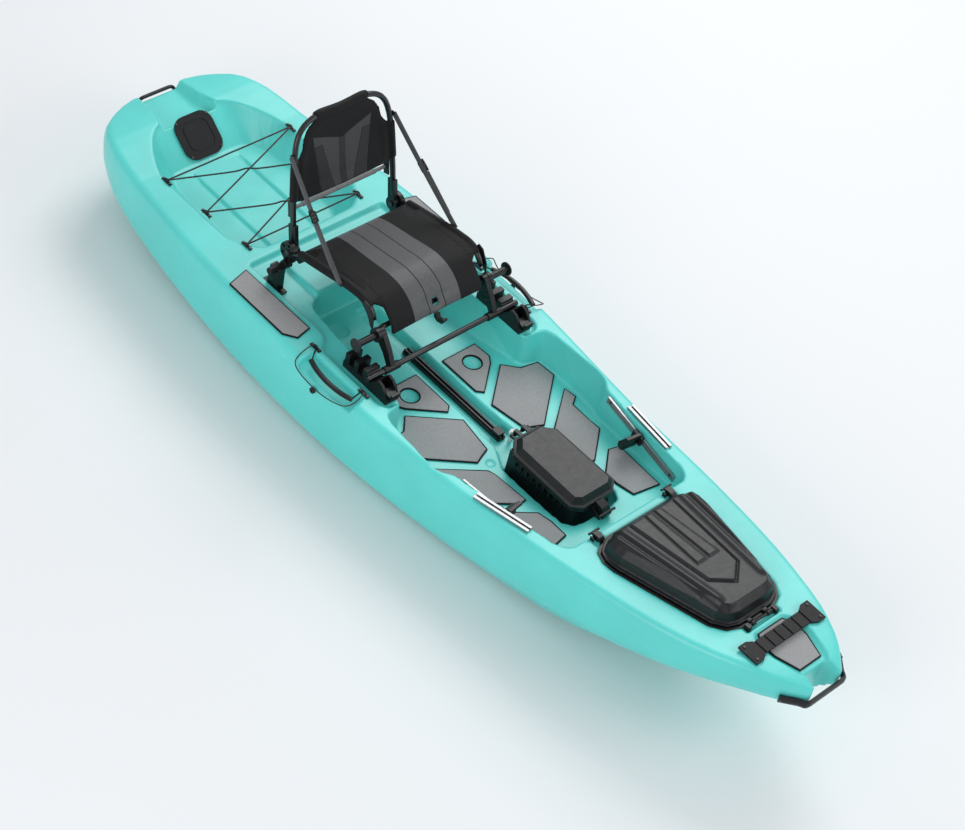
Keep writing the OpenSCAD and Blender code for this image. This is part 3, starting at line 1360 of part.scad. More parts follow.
module deck_screws() {
  color(METAL) {
    both() for (p = eye_places) for (s = [-1, 1]) screw(p + [s * eye_pitch / 2, 0, eye_t]);
    both() for (p = strap_screws) screw(p);
    both() for (p = saddle_screws) screw(p);
    both() for (p = cradle_screws) screw(p);
    both() on_track() for (x = track_holes) screw([x, 0, 2]);
    on_plate() for (p = plate_screws) screw([p[0], p[1], plate_lift + gasket_t + plate_t]);
    both() screw([bow_x - 50, handle_screw_y, bow_handle_z], [-90, 0, 0]);
    both() on_foot_rail() for (x = [18, foot_rail_l - 18])
      screw([x, -foot_rail_t, 4], [90, 0, 0]);
  }
}

hull();
floor_pads();
gunwale_pads();
bow_pad();
bow_strap();
bow_handle();
stern_handle();
stern_plate();
stern_plate_gasket();
deck_screws();
deck_pad_eyes();
tankwell_bungee();
gear_tracks();
foot_rails();
foot_pedal_port();
foot_pedal_starboard();
side_handle_port();
side_handle_starboard();
paddle_keeper_cords();
paddle_keeper_toggles();
seat_saddles();
saddle_latch_port();
saddle_latch_starboard();
rear_cradles();
centre_track();
track_slider();
hatch_rim();
hatch_gasket();
hatch_lid();
hatch_hinge_base();
hatch_hinge_bar();
hatch_latch_port();
hatch_latch_starboard();
pod_box();
pod_gasket();
pod_lid();
pod_hinge_bar();
pod_latch();
pod_cable_plug();
seat_frame();
seat_sling();
seat_hook();
leg_hubs();
leg_pins();
front_legs();
crossbar();
crossbar_caps();
rear_posts();
recliner_plates();
recliner_pins();
recliner_arms();
back_frame();
back_sling();
lumbar_racks();
lumbar_bar();
back_straps();
strap_buckles();
strap_lower_anchors();
strap_upper_anchors();
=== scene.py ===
"""Looks of the sit-on-top fishing kayak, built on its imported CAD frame. Metres, the row frame."""
import json
import math

import bmesh
import bpy
import numpy as np
from mathutils import Matrix, Vector


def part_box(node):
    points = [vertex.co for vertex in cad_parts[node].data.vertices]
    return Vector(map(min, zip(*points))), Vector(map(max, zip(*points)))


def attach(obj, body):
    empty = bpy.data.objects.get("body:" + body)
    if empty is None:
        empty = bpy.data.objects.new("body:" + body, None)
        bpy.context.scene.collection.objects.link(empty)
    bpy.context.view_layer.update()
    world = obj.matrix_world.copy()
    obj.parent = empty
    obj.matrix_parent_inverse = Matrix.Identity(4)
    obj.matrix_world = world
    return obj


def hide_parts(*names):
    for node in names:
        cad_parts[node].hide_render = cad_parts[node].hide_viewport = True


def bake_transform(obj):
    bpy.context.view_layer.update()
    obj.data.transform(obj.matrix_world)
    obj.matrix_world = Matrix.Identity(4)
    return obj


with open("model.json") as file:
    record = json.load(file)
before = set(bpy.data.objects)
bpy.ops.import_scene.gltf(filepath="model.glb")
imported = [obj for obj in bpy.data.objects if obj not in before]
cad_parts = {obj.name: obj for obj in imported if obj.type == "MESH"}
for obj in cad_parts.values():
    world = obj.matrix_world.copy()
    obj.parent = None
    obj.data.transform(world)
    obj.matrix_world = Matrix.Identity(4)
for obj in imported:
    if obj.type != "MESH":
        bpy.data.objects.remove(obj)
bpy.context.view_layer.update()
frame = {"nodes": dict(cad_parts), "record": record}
scene = bpy.context.scene
NODES = frame["nodes"]
BODY = {n: b for b, ns in frame["record"]["behaviour"]["bodies"].items() for n in ns}
SLOT = {s["node"]: s["material_slot"] for s in frame["record"]["subparts"]}

# ---------------------------------------------------------------- camera, lights, floor


def make_camera():
    data = bpy.data.cameras.new("camera")
    data.lens = 93.26
    data.sensor_width = 36
    data.clip_end = 60
    cam = bpy.data.objects.new("camera", data)
    right = Vector((0.6679, 0.7216, 0.1819)).normalized()
    ahead = Vector((-0.4189, 0.5666, -0.7096)).normalized()
    up = right.cross(ahead).normalized()
    right = ahead.cross(up)
    m = Matrix((right, up, -ahead)).transposed().to_4x4()
    m.translation = (3.520, -4.587, 5.961)
    cam.matrix_world = m
    scene.collection.objects.link(cam)
    scene.camera = cam


def area_light(name, at, size, watts, aim=(0, 0, 0.2)):
    data = bpy.data.lights.new(name, "AREA")
    data.size = size
    data.energy = watts
    light = bpy.data.objects.new(name, data)
    light.location = at
    light.rotation_euler = (Vector(aim) - Vector(at)).to_track_quat("-Z", "Y").to_euler()
    scene.collection.objects.link(light)


def make_studio():
    area_light("key", (-2.6, 4.2, 5.6), 4.0, 215)
    area_light("side", (5.2, 2.6, 4.2), 3.0, 95)
    area_light("front", (1.5, -6.0, 3.2), 3.0, 120)
    world = bpy.data.worlds.new("studio")
    world.use_nodes = True
    world.node_tree.nodes["Background"].inputs["Color"].default_value = (0.93, 0.96, 1.0, 1)
    world.node_tree.nodes["Background"].inputs["Strength"].default_value = 0.58
    scene.world = world
    scene.view_settings.view_transform = "Standard"
    mesh = bpy.data.meshes.new("floor")
    mesh.from_pydata([(-30, -30, 0), (30, -30, 0), (30, 30, 0), (-30, 30, 0)], [], [(0, 1, 2, 3)])
    floor = bpy.data.objects.new("floor", mesh)
    scene.collection.objects.link(floor)
    mesh.materials.append(Paint("floor", (0.86, 0.87, 0.88), 0.7).done())


# ---------------------------------------------------------------- materials


class Paint:
    """A principled material put together from a few named effects."""

    def __init__(self, name, color, rough, metal=0.0):
        self.m = bpy.data.materials.new(name)
        self.m.use_nodes = True
        self.t = self.m.node_tree
        self.b = self.t.nodes["Principled BSDF"]
        self.b.inputs["Base Color"].default_value = (*color, 1)
        self.b.inputs["Roughness"].default_value = rough
        self.b.inputs["Metallic"].default_value = metal
        self.color = color
        self.rough = rough
        self.place = self.node("ShaderNodeTexCoord").outputs["Object"]
        self.normal = None

    def node(self, kind, **props):
        n = self.t.nodes.new(kind)
        for k, v in props.items():
            setattr(n, k, v)
        return n

    def link(self, a, b):
        self.t.links.new(a, b)

    def calc(self, op, a, b=0.0, c=0.0, clamp=False):
        n = self.node("ShaderNodeMath", operation=op, use_clamp=clamp)
        for i, v in enumerate((a, b, c)):
            if isinstance(v, (int, float)):
                n.inputs[i].default_value = v
            else:
                self.link(v, n.inputs[i])
        return n.outputs[0]

    def axes(self):
        s = self.node("ShaderNodeSeparateXYZ")
        self.link(self.place, s.inputs[0])
        return s.outputs

    def stretched(self, scale, turn=(0, 0, 0)):
        m = self.node("ShaderNodeMapping")
        m.inputs["Scale"].default_value = scale
        m.inputs["Rotation"].default_value = turn
        self.link(self.place, m.inputs["Vector"])
        return m.outputs[0]

    def noise(self, scale, detail=3.0, where=None):
        n = self.node("ShaderNodeTexNoise")
        n.inputs["Scale"].default_value = scale
        n.inputs["Detail"].default_value = detail
        self.link(where or self.place, n.inputs["Vector"])
        return n.outputs["Fac"]

    def wave(self, scale, where=None, direction="X", distortion=0.0):
        n = self.node("ShaderNodeTexWave", bands_direction=direction)
        n.inputs["Scale"].default_value = scale
        n.inputs["Distortion"].default_value = distortion
        self.link(where or self.place, n.inputs["Vector"])
        return n.outputs["Fac"]

    def ramp(self, value, low, high, a, b):
        n = self.node("ShaderNodeValToRGB")
        n.color_ramp.elements[0].position = low
        n.color_ramp.elements[1].position = high
        n.color_ramp.elements[0].color = (*a, 1)
        n.color_ramp.elements[1].color = (*b, 1)
        self.link(value, n.inputs[0])
        return n.outputs["Color"]

    def mix(self, fac, a, b):
        n = self.node("ShaderNodeMix", data_type="RGBA")
        self.link(fac, n.inputs["Factor"])
        for i, v in ((6, a), (7, b)):
            if isinstance(v, tuple):
                n.inputs[i].default_value = (*v, 1)
            else:
                self.link(v, n.inputs[i])
        return n.outputs[2]

    def vary(self, scale, amount, where=None, detail=4.0):
        """Colour varies by the share amount over a noise of that scale."""
        lo = tuple(c * (1 - amount) for c in self.color)
        hi = tuple(min(1, c * (1 + amount)) for c in self.color)
        self.paint(self.ramp(self.noise(scale, detail, where), 0.3, 0.7, lo, hi))
        return self

    def paint(self, color):
        self.link(color, self.b.inputs["Base Color"])
        self.last = color
        return self

    def rough_vary(self, scale, spread, where=None):
        r = self.node("ShaderNodeMapRange")
        r.inputs["To Min"].default_value = max(0.02, self.rough - spread)
        r.inputs["To Max"].default_value = min(1, self.rough + spread)
        self.link(self.noise(scale, 4.0, where), r.inputs["Value"])
        self.link(r.outputs[0], self.b.inputs["Roughness"])
        return self

    def bump(self, height, strength, distance):
        n = self.node("ShaderNodeBump")
        n.inputs["Strength"].default_value = strength
        n.inputs["Distance"].default_value = distance
        self.link(height, n.inputs["Height"])
        if self.normal:
            self.link(self.normal, n.inputs["Normal"])
        self.normal = n.outputs[0]
        self.link(self.normal, self.b.inputs["Normal"])
        return self

    def shine(self, **sockets):
        names = {"coat": "Coat Weight", "coat_rough": "Coat Roughness", "sheen": "Sheen Weight",
                 "sheen_rough": "Sheen Roughness", "spec": "Specular IOR Level"}
        for k, v in sockets.items():
            self.b.inputs[names[k]].default_value = v
        return self

    def done(self):
        return self.m


def moulded_plastic(name, color, rough, grain=900, spec=0.5):
    p = Paint(name, color, rough).vary(35, 0.18).rough_vary(60, 0.08)
    p.bump(p.noise(grain, 2), 0.25, 0.0004).bump(p.noise(60, 2), 0.12, 0.001)
    return p.shine(spec=spec).done()


def polyethylene():
    p = Paint("hull_polyethylene", (0.105, 0.69, 0.635), 0.38)
    p.vary(5, 0.05).rough_vary(26, 0.07)
    p.bump(p.noise(420, 2), 0.16, 0.0005).bump(p.noise(14, 3), 0.18, 0.004)
    return p.shine(coat=0.35, coat_rough=0.3, spec=0.45).done()


def traction_foam():
    p = Paint("traction_foam", (0.25, 0.253, 0.257), 0.8)
    grain = p.stretched((1500, 130, 400), (0, 0, math.radians(38)))
    p.paint(p.ramp(p.noise(1, 4, grain), 0.3, 0.72, (0.27, 0.273, 0.276), (0.4, 0.403, 0.406)))
    return p.bump(p.noise(1, 3, grain), 0.3, 0.0004).shine(sheen=0.1, spec=0.3).done()


def foam_edge():
    p = Paint("foam_edge", (0.012, 0.012, 0.013), 0.8).vary(200, 0.3)
    return p.bump(p.noise(1500, 2), 0.4, 0.0004).shine(spec=0.2).done()


def rubber(name="black_rubber"):
    p = Paint(name, (0.007, 0.007, 0.0075), 0.5).vary(50, 0.25).rough_vary(90, 0.08)
    return p.bump(p.noise(700, 2), 0.3, 0.0005).shine(spec=0.35).done()


def coated_tube():
    p = Paint("coated_tube", (0.007, 0.0072, 0.008), 0.3).vary(30, 0.15).rough_vary(120, 0.05)
    return p.bump(p.noise(1300, 2), 0.15, 0.0003).shine(coat=0.2, coat_rough=0.25).done()


def brushed(name, color, rough, along):
    p = Paint(name, color, rough, 1.0)
    lines = p.stretched(along)
    p.vary(1, 0.1, lines)
    p.rough_vary(1, 0.08, lines)
    return p.bump(p.noise(1, 3, lines), 0.15, 0.0002).done()


def braid(name, color, fleck, pitch=520):
    p = Paint(name, color, 0.72)
    a = p.wave(pitch / 6.28, p.stretched((1, 1, 1), (0.5, 0.7, 0.8)), "X")
    b = p.wave(pitch / 6.28, p.stretched((1, 1, 1), (0.5, -0.7, -0.8)), "Y")
    both = p.calc("MULTIPLY", a, b)
    p.paint(p.ramp(both, 0.1, 0.9, color, fleck))
    return p.bump(both, 0.6, 0.0006).shine(sheen=0.2).done()


def webbing():
    p = Paint("webbing", (0.11, 0.113, 0.118), 0.8)
    weft = p.wave(150, None, "Z", 0.4)
    warp = p.wave(110, p.stretched((1, 1, 1), (0, 0.6, 0)), "X", 0.3)
    cloth = p.calc("ADD", p.calc("MULTIPLY", weft, 0.6), p.calc("MULTIPLY", warp, 0.4))
    p.paint(p.ramp(cloth, 0.15, 0.85, (0.055, 0.057, 0.06), (0.12, 0.123, 0.127)))
    return p.bump(cloth, 0.7, 0.0008).shine(sheen=0.1, spec=0.3).done()


def weave(p, fine=560):
    """Plain weave height: over and under threads about 1.8 mm apart."""
    wx = p.wave(fine / 6.28, None, "X", 0.15)
    wy = p.wave(fine / 6.28, None, "Y", 0.15)
    wz = p.wave(fine / 6.28, None, "Z", 0.15)
    return p.calc("MULTIPLY", p.calc("ADD", p.calc("MULTIPLY", wx, 0.5), p.calc("MULTIPLY", wz, 0.5)), wy)


def band(p, value, low, high, soft=0.0015):
    """1 where value lies between low and high."""
    up = p.calc("MULTIPLY_ADD", value, 1 / soft, -low / soft + 0.5, True)
    down = p.calc("MULTIPLY_ADD", value, -1 / soft, high / soft + 0.5, True)
    return p.calc("MULTIPLY", up, down)


def panel_fabric(name, panels, seams):
    """Black sling cloth with lighter panels and dark seams: each is a function of the shader."""
    p = Paint(name, (0.006, 0.006, 0.0065), 0.55)
    heather = p.noise(1, 5, p.stretched((500, 1100, 500)))
    color = p.ramp(p.noise(300, 3), 0.3, 0.7, (0.004, 0.004, 0.0042), (0.0095, 0.0095, 0.01))
    for mask, dark, light in panels(p):
        color = p.mix(mask, color, p.ramp(heather, 0.32, 0.7, dark, light))
    groove = None
    for line in seams(p):
        color = p.mix(line, color, (0.003, 0.003, 0.0035))
        groove = line if groove is None else p.calc("MAXIMUM", groove, line)
    p.paint(color)
    p.bump(weave(p), 0.45, 0.0005)
    p.bump(p.calc("SUBTRACT", 1.0, groove), 0.8, 0.0012)
    shiny = p.node("ShaderNodeMapRange")
    shiny.inputs["To Min"].default_value = 0.62
    shiny.inputs["To Max"].default_value = 0.4
    p.link(panels(p)[0][0], shiny.inputs["Value"])
    p.link(shiny.outputs[0], p.b.inputs["Roughness"])
    return p.shine(sheen=0.04, spec=0.2).done()


def seat_cloth():
    def side(p):
        return p.calc("ABSOLUTE", p.axes()[1])

    def panels(p):
        y, x = side(p), p.axes()[0]
        taper = p.calc("MULTIPLY_ADD", p.calc("MAXIMUM", p.calc("SUBTRACT", -0.3, x), 0.0), -0.04, 0.1)
        inside = p.calc("MULTIPLY_ADD", p.calc("SUBTRACT", taper, y), 700.0, 0.5, True)
        return [(inside, (0.062, 0.064, 0.066), (0.15, 0.153, 0.156))]

    def seams(p):
        y = side(p)
        return [band(p, y, a - 0.0016, a + 0.0016) for a in (0.034, 0.192)]

    return panel_fabric("seat_cloth", panels, seams)


def back_cloth():
    def lines(p):
        o = p.axes()
        y = p.calc("ABSOLUTE", o[1])
        z = p.calc("MULTIPLY_ADD", o[2], 1 / 0.974, -0.455 / 0.974)
        edge = p.calc("MULTIPLY_ADD", z, 0.128, 0.096 - 0.128 * 0.162)
        inner = p.calc("MULTIPLY_ADD", z, 0.277, 0.0375 - 0.277 * 0.162)
        top = p.calc("MULTIPLY_ADD", y, 0.38, 0.333)
        inside = p.calc("MULTIPLY", above(p, edge, y), above(p, top, z))
        return y, z, edge, inner, inside

    def above(p, a, b):
        return p.calc("MULTIPLY_ADD", p.calc("SUBTRACT", a, b), 700.0, 0.5, True)

    def panels(p):
        y, z, edge, inner, inside = lines(p)
        middle = p.calc("MAXIMUM", above(p, inner, y), above(p, z, 0.338))
        return [
            (inside, (0.016, 0.0165, 0.017), (0.036, 0.037, 0.038)),
            (p.calc("MULTIPLY", inside, middle), (0.03, 0.031, 0.032), (0.075, 0.077, 0.079)),
            (p.calc("MULTIPLY", inside, above(p, 0.014, y)), (0.014, 0.0145, 0.015), (0.034, 0.035, 0.036)),
        ]

    def seams(p):
        y, z, edge, inner, inside = lines(p)
        at_edge = p.calc("MULTIPLY", band(p, p.calc("SUBTRACT", y, edge), -0.0012, 0.0012), inside)
        low = p.calc("MULTIPLY", band(p, p.calc("SUBTRACT", y, inner), -0.0012, 0.0012), above(p, 0.338, z))
        step = p.calc("MULTIPLY", band(p, z, 0.3368, 0.3392), above(p, y, inner))
        return [at_edge, p.calc("MULTIPLY", low, inside), p.calc("MULTIPLY", step, inside)]

    return panel_fabric("back_cloth", panels, seams)


make_camera()
make_studio()
MATS = {
    "hull_polyethylene": polyethylene(),
    "traction_foam": traction_foam(),
    "black_rubber": rubber(),
    "black_plastic": moulded_plastic("black_plastic", (0.006, 0.0062, 0.0067), 0.36, 900, 0.4),
    "stainless_steel": brushed("stainless_steel", (0.1, 0.1, 0.105), 0.5, (300, 300, 300)),
    "anodised_aluminium": brushed("anodised_aluminium", (0.4, 0.405, 0.41), 0.42, (30, 900, 900)),
    "shock_cord": braid("shock_cord", (0.012, 0.012, 0.013), (0.06, 0.06, 0.062)),
    "coated_tube": coated_tube(),
    "seat_fabric": seat_cloth(),
    "webbing": webbing(),
    "grey_plastic": moulded_plastic("grey_plastic", (0.17, 0.173, 0.176), 0.45),
    "white_plastic": moulded_plastic("white_plastic", (0.78, 0.79, 0.8), 0.38),
}
LID = moulded_plastic("lid_plastic", (0.011, 0.0114, 0.012), 0.36, 600, 0.36)
EDGE = foam_edge()

# ---------------------------------------------------------------- mesh helpers


def welded(node, flat=0.6):
    """A bmesh of a CAD node with its coplanar triangles merged again."""
    bm = bmesh.new()
    bm.from_mesh(NODES[node].data)
    bmesh.ops.remove_doubles(bm, verts=bm.verts, dist=2e-6)
    bmesh.ops.dissolve_limit(bm, angle_limit=math.radians(flat), verts=bm.verts, edges=bm.edges)
    return bm


def piece(name, bm, material, body=None, stands_for=None):
    mesh = bpy.data.meshes.new(name)
    bm.to_mesh(mesh)
    bm.free()
    for m in material if isinstance(material, (list, tuple)) else [material]:
        mesh.materials.append(m)
    for f in mesh.polygons:
        f.use_smooth = True
    o = bpy.data.objects.new(name, mesh)
    scene.collection.objects.link(o)
    if body:
        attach(o, body)
    for n in stands_for or []:
        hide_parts(n)
    return o


def sharp_edges(bm, degrees):
    return [e for e in bm.edges if len(e.link_faces) == 2 and e.calc_face_angle(0) > math.radians(degrees)]


def refined(node, width=0.0012, segments=2, degrees=28, material=None):
    """The node again with its edges rounded, in place of the CAD one."""
    bm = welded(node)
    edges = sharp_edges(bm, degrees)
    if edges and width:
        bmesh.ops.bevel(bm, geom=edges, offset=width, segments=segments, profile=0.6,
                        affect="EDGES", clamp_overlap=True)
    o = piece(node + "_look", bm, material or MATS[SLOT[node]], BODY[node], [node])
    even = o.modifiers.new("even", "WEIGHTED_NORMAL")
    even.keep_sharp = True
    return o


def apply_modifiers(o):
    bpy.context.view_layer.update()
    deps = bpy.context.evaluated_depsgraph_get()
    mesh = bpy.data.meshes.new_from_object(o.evaluated_get(deps))
    o.modifiers.clear()
    o.data = mesh


def remeshed(o, voxel, smooth=2, ratio=None):
    r = o.modifiers.new("r", "REMESH")
    r.mode = "VOXEL"
    r.voxel_size = voxel
    r.use_smooth_shade = True
    if smooth:
        s = o.modifiers.new("s", "SMOOTH")
        s.iterations = smooth
        s.factor = 0.5
    if ratio:
        d = o.modifiers.new("d", "DECIMATE")
        d.ratio = ratio
    apply_modifiers(o)
    for f in o.data.polygons:
        f.use_smooth = True
    return o


def points(o):
    co = np.empty(len(o.data.vertices) * 3)
    o.data.vertices.foreach_get("co", co)
    return co.reshape(-1, 3)


def put_points(o, co):
    o.data.vertices.foreach_set("co", np.asarray(co, np.float32).ravel())
    o.data.update()


def tube(name, route, radius, material, sides=10, steps=6):
    """A round cord through the points, as a mesh."""
    pts = [Vector(p) for p in route]
    fine = []
    for i in range(len(pts) - 1):
        a, b = pts[max(i - 1, 0)], pts[i]
        c, d = pts[i + 1], pts[min(i + 2, len(pts) - 1)]
        for k in range(steps):
            t = k / steps
            fine.append(0.5 * (2 * b + (c - a) * t + (2 * a - 5 * b + 4 * c - d) * t * t
                               + (3 * b - a - 3 * c + d) * t ** 3))
    fine.append(pts[-1])
    bm = bmesh.new()
    rings = []
    side = None
    for i, p in enumerate(fine):
        t = (fine[min(i + 1, len(fine) - 1)] - fine[max(i - 1, 0)]).normalized()
        if side is None:
            side = t.orthogonal().normalized()
        side = (side - t * side.dot(t)).normalized()
        up = t.cross(side)
        rings.append([bm.verts.new(p + radius * (math.cos(a) * side + math.sin(a) * up))
                      for a in (2 * math.pi * k / sides for k in range(sides))])
    for r, s in zip(rings, rings[1:]):
        for k in range(sides):
            bm.faces.new((r[k], r[(k + 1) % sides], s[(k + 1) % sides], s[k]))
    bm.faces.new(rings[0][::-1])
    bm.faces.new(rings[-1])
    return piece(name, bm, material)


def puffed(o, pressure, cap, frames=16, pins=None):
    """Cloth inflated a little: no point moves further than cap."""
    start = points(o)
    if pins is not None:
        group = o.vertex_groups.new(name="pin")
        group.add([int(i) for i in np.nonzero(pins)[0]], 1.0, "REPLACE")
    m = o.modifiers.new("cloth", "CLOTH")
    s = m.settings
    s.use_pressure = True
    s.uniform_pressure_force = pressure
    s.effector_weights.gravity = 0
    s.quality = 4
    if pins is not None:
        s.vertex_group_mass = "pin"
    m.collision_settings.use_collision = False
    m.point_cache.frame_start, m.point_cache.frame_end = 1, frames
    for f in range(1, frames + 1):
        scene.frame_set(f)
    deps = bpy.context.evaluated_depsgraph_get()
    end = np.array([v.co for v in o.evaluated_get(deps).to_mesh().vertices])
    o.modifiers.clear()
    scene.frame_set(1)
    move = end - start
    far = np.linalg.norm(move, axis=1, keepdims=True)
    put_points(o, start + move * np.minimum(1, cap / np.maximum(far, 1e-9)))
    return o


def near(node, x, y, r=0.016):
    """Middle height of a CAD node's points close to x, y."""
    co = points(NODES[node])
    hit = co[np.hypot(co[:, 0] - x, co[:, 1] - y) < r]
    return float((hit[:, 2].min() + hit[:, 2].max()) / 2)


# ---------------------------------------------------------------- hull


LID_TILT = math.radians(4.6)
LID_AT = (0.818, 0.35328)
LID_HOLE = [(0.014, 0.142), (0.036, 0.184), (0.062, 0.194), (0.1, 0.193), (0.424, 0.119), (0.455, 0.094),
            (0.466, 0.062)]
LAND = (-0.0175, -0.0125)
PLATE_AT = (-1.369, 0.287)
PLATE_TILT = math.atan2(0.102, 0.142)
PLATE_HALF = 0.048


def lid_point(u, v, h):
    c, s = math.cos(LID_TILT), math.sin(LID_TILT)
    return Vector((LID_AT[0] + u * c - h * s, v, LID_AT[1] + u * s + h * c))


def lid_local(x, z):
    """Distance forward along the lid's plane, and height over it."""
    c, s = math.cos(LID_TILT), math.sin(LID_TILT)
    dx, dz = x - LID_AT[0], z - LID_AT[1]
    return dx * c + dz * s, -dx * s + dz * c


def stern_point(a, b, h):
    c, s = math.cos(PLATE_TILT), math.sin(PLATE_TILT)
    return Vector((PLATE_AT[0] + a * c + h * s, b, PLATE_AT[1] - a * s + h * c))


def slab(name, pts):
    """A flat closed plate: its lower ring of points, then its upper one."""
    n = len(pts) // 2
    bm = bmesh.new()
    v = [bm.verts.new(p) for p in pts]
    bm.faces.new(v[:n])
    bm.faces.new(v[n:])
    for i in range(n):
        j = (i + 1) % n
        bm.faces.new((v[i], v[j], v[n + j], v[n + i]))
    bmesh.ops.recalc_face_normals(bm, faces=bm.faces)
    return piece(name, bm, MATS["hull_polyethylene"])


def open_holes(o):
    """The slabs kept the remesh to the outer skin; here their faces go again."""
    bm = bmesh.new()
    bm.from_mesh(o.data)
    pc, ps = math.cos(PLATE_TILT), math.sin(PLATE_TILT)
    gone = []
    for f in bm.faces:
        p = f.calc_center_median()
        u, h = lid_local(p.x, p.z)
        half = min(0.186, 0.128 + 1.8 * u, 0.213 - 0.23 * u)
        if 0.02 < u < 0.458 and -0.03 < h < 0.005 and abs(p.y) < half:
            gone.append(f)
            continue
        dx, dz = p.x - PLATE_AT[0], p.z - PLATE_AT[1]
        a, h = dx * pc - dz * ps, dx * ps + dz * pc
        if abs(a) < PLATE_HALF and abs(p.y) < PLATE_HALF and abs(h) < 0.012:
            gone.append(f)
    bmesh.ops.delete(bm, geom=gone, context="FACES")
    bm.to_mesh(o.data)
    bm.free()


def make_hull():
    bm = welded("hull", 0.1)
    o = piece("hull_shell", bm, MATS["hull_polyethylene"], "kayak", ["hull"])
    hole = [(u, v) for u, v in LID_HOLE] + [(u, -v) for u, v in LID_HOLE[::-1]]
    lid_slab = slab("lid_slab", [lid_point(u, v, h) for h in LAND for u, v in hole])
    square = [(0.054, 0.03), (0.03, 0.054), (-0.03, 0.054), (-0.054, 0.03),
              (-0.054, -0.03), (-0.03, -0.054), (0.03, -0.054), (0.054, -0.03)]
    stern_slab = slab("stern_slab", [stern_point(a, b, h) for h in (-0.0055, -0.0005) for a, b in square])
    join([o, lid_slab, stern_slab])
    remeshed(o, 0.005, 2)
    open_holes(o)
    co = points(o)
    x, y, z = co.T
    y = np.abs(y)
    floor = (z > 0.2) & (z < 0.21)
    for cx, cy, r in ((-0.071, 0.14, 0.03), (-0.425, 0.139, 0.034), (0.293, 0.114, 0.018)):
        ring = np.hypot(x - cx, y - cy)
        co[:, 2] -= np.where(floor, 0.0035 * np.clip((r - ring) / 0.006, 0, 1), 0)
    well = (z > 0.225) & (z < 0.24) & (x > -1.26) & (x < -0.83)
    co[:, 2] -= np.where(well, 0.0045 * np.clip(1.6 - np.abs(y - 0.1) / 0.005, 0, 1), 0)
    put_points(o, co)
    d = o.modifiers.new("d", "DECIMATE")
    d.ratio = 0.6
    apply_modifiers(o)
    for f in o.data.polygons:
        f.use_smooth = True


# ---------------------------------------------------------------- foam pads


FOLD = 0.34


def make_pads(node):
    bm = welded(node)
    bm.normal_update()
    tops = [f for f in bm.faces if f.normal.z > 0.9]
    bmesh.ops.inset_region(bm, faces=tops, thickness=0.0048, depth=0.0)
    tops = [f for f in bm.faces if f.normal.z > 0.9]
    inner = [f for f in tops if f.calc_area() > 0.0015]
    for f in bm.faces:
        f.material_index = 1
    for f in inner:
        f.material_index = 0
    bmesh.ops.inset_region(bm, faces=inner, thickness=0.0018, depth=0.0012)
    for f in inner:
        f.material_index = 0
        for v in f.verts:
            if node == "floor_pads" and abs(v.co.x - FOLD) < 0.0075:
                v.co.x = FOLD
    o = piece(node + "_look", bm, [MATS["traction_foam"], EDGE], BODY[node], [node])
    for f in o.data.polygons:
        f.use_smooth = False


# ---------------------------------------------------------------- hatch and pod lids


def make_hatch_lid():
    bm = welded("hatch_lid")
    o = piece("hatch_lid_look", bm, LID, "hatch", ["hatch_lid"])
    remeshed(o, 0.0025, 1)
    co = points(o)
    u, h = lid_local(co[:, 0], co[:, 2])
    v = np.abs(co[:, 1])

    def line(d, w):
        return np.exp(-((d / w) ** 2))

    def inside(d, w=0.0035):
        t = np.clip(d / w, 0, 1)
        return t * t * (3 - 2 * t)

    side = 0.098 - 0.094 * u - v
    tip = 0.39 - 0.82 * v - u
    edge = np.minimum(side, tip * 0.773)
    bar = np.minimum(np.minimum(0.031 + 0.06 * u - v, 0.272 - u), v - 0.006)
    crest = 0.136 - 0.1 * u
    low = 0.171 - 0.115 * u
    ridge = line(v - crest, 0.014) * inside(0.43 - u, 0.03)
    ridge2 = line(v - low, 0.008) * inside(0.375 - u, 0.02)
    trench = line(v - (crest + low) / 2, 0.006)
    lift = 0.003 * inside(edge) - 0.006 * line(edge, 0.0036)
    lift = lift + 0.0035 * inside(bar, 0.004) - 0.002 * line(bar, 0.003)
    lift = lift + 0.006 * ridge + 0.0045 * ridge2 - 0.003 * trench
    lift = lift * np.clip((h - 0.03) / 0.015, 0, 1) * np.clip((u - 0.025) / 0.015, 0, 1)
    co[:, 0] -= lift * math.sin(LID_TILT)
    co[:, 2] += lift * math.cos(LID_TILT)
    put_points(o, co)


def make_pod_lid():
    refined("pod_lid", 0.0035, 3, 20, LID)


# ---------------------------------------------------------------- seat

RAIL = [(-0.572, 0.4838), (-0.55, 0.489), (-0.53, 0.4935), (-0.48, 0.504), (-0.42, 0.517),
        (-0.362, 0.530), (-0.32, 0.536),
        (-0.288, 0.5395), (-0.262, 0.537), (-0.246, 0.531), (-0.236, 0.524)]
RAIL_Y = 0.235


def join(parts):
    with bpy.context.temp_override(active_object=parts[0], object=parts[0], selected_objects=parts,
                                   selected_editable_objects=parts):
        bpy.ops.object.join()


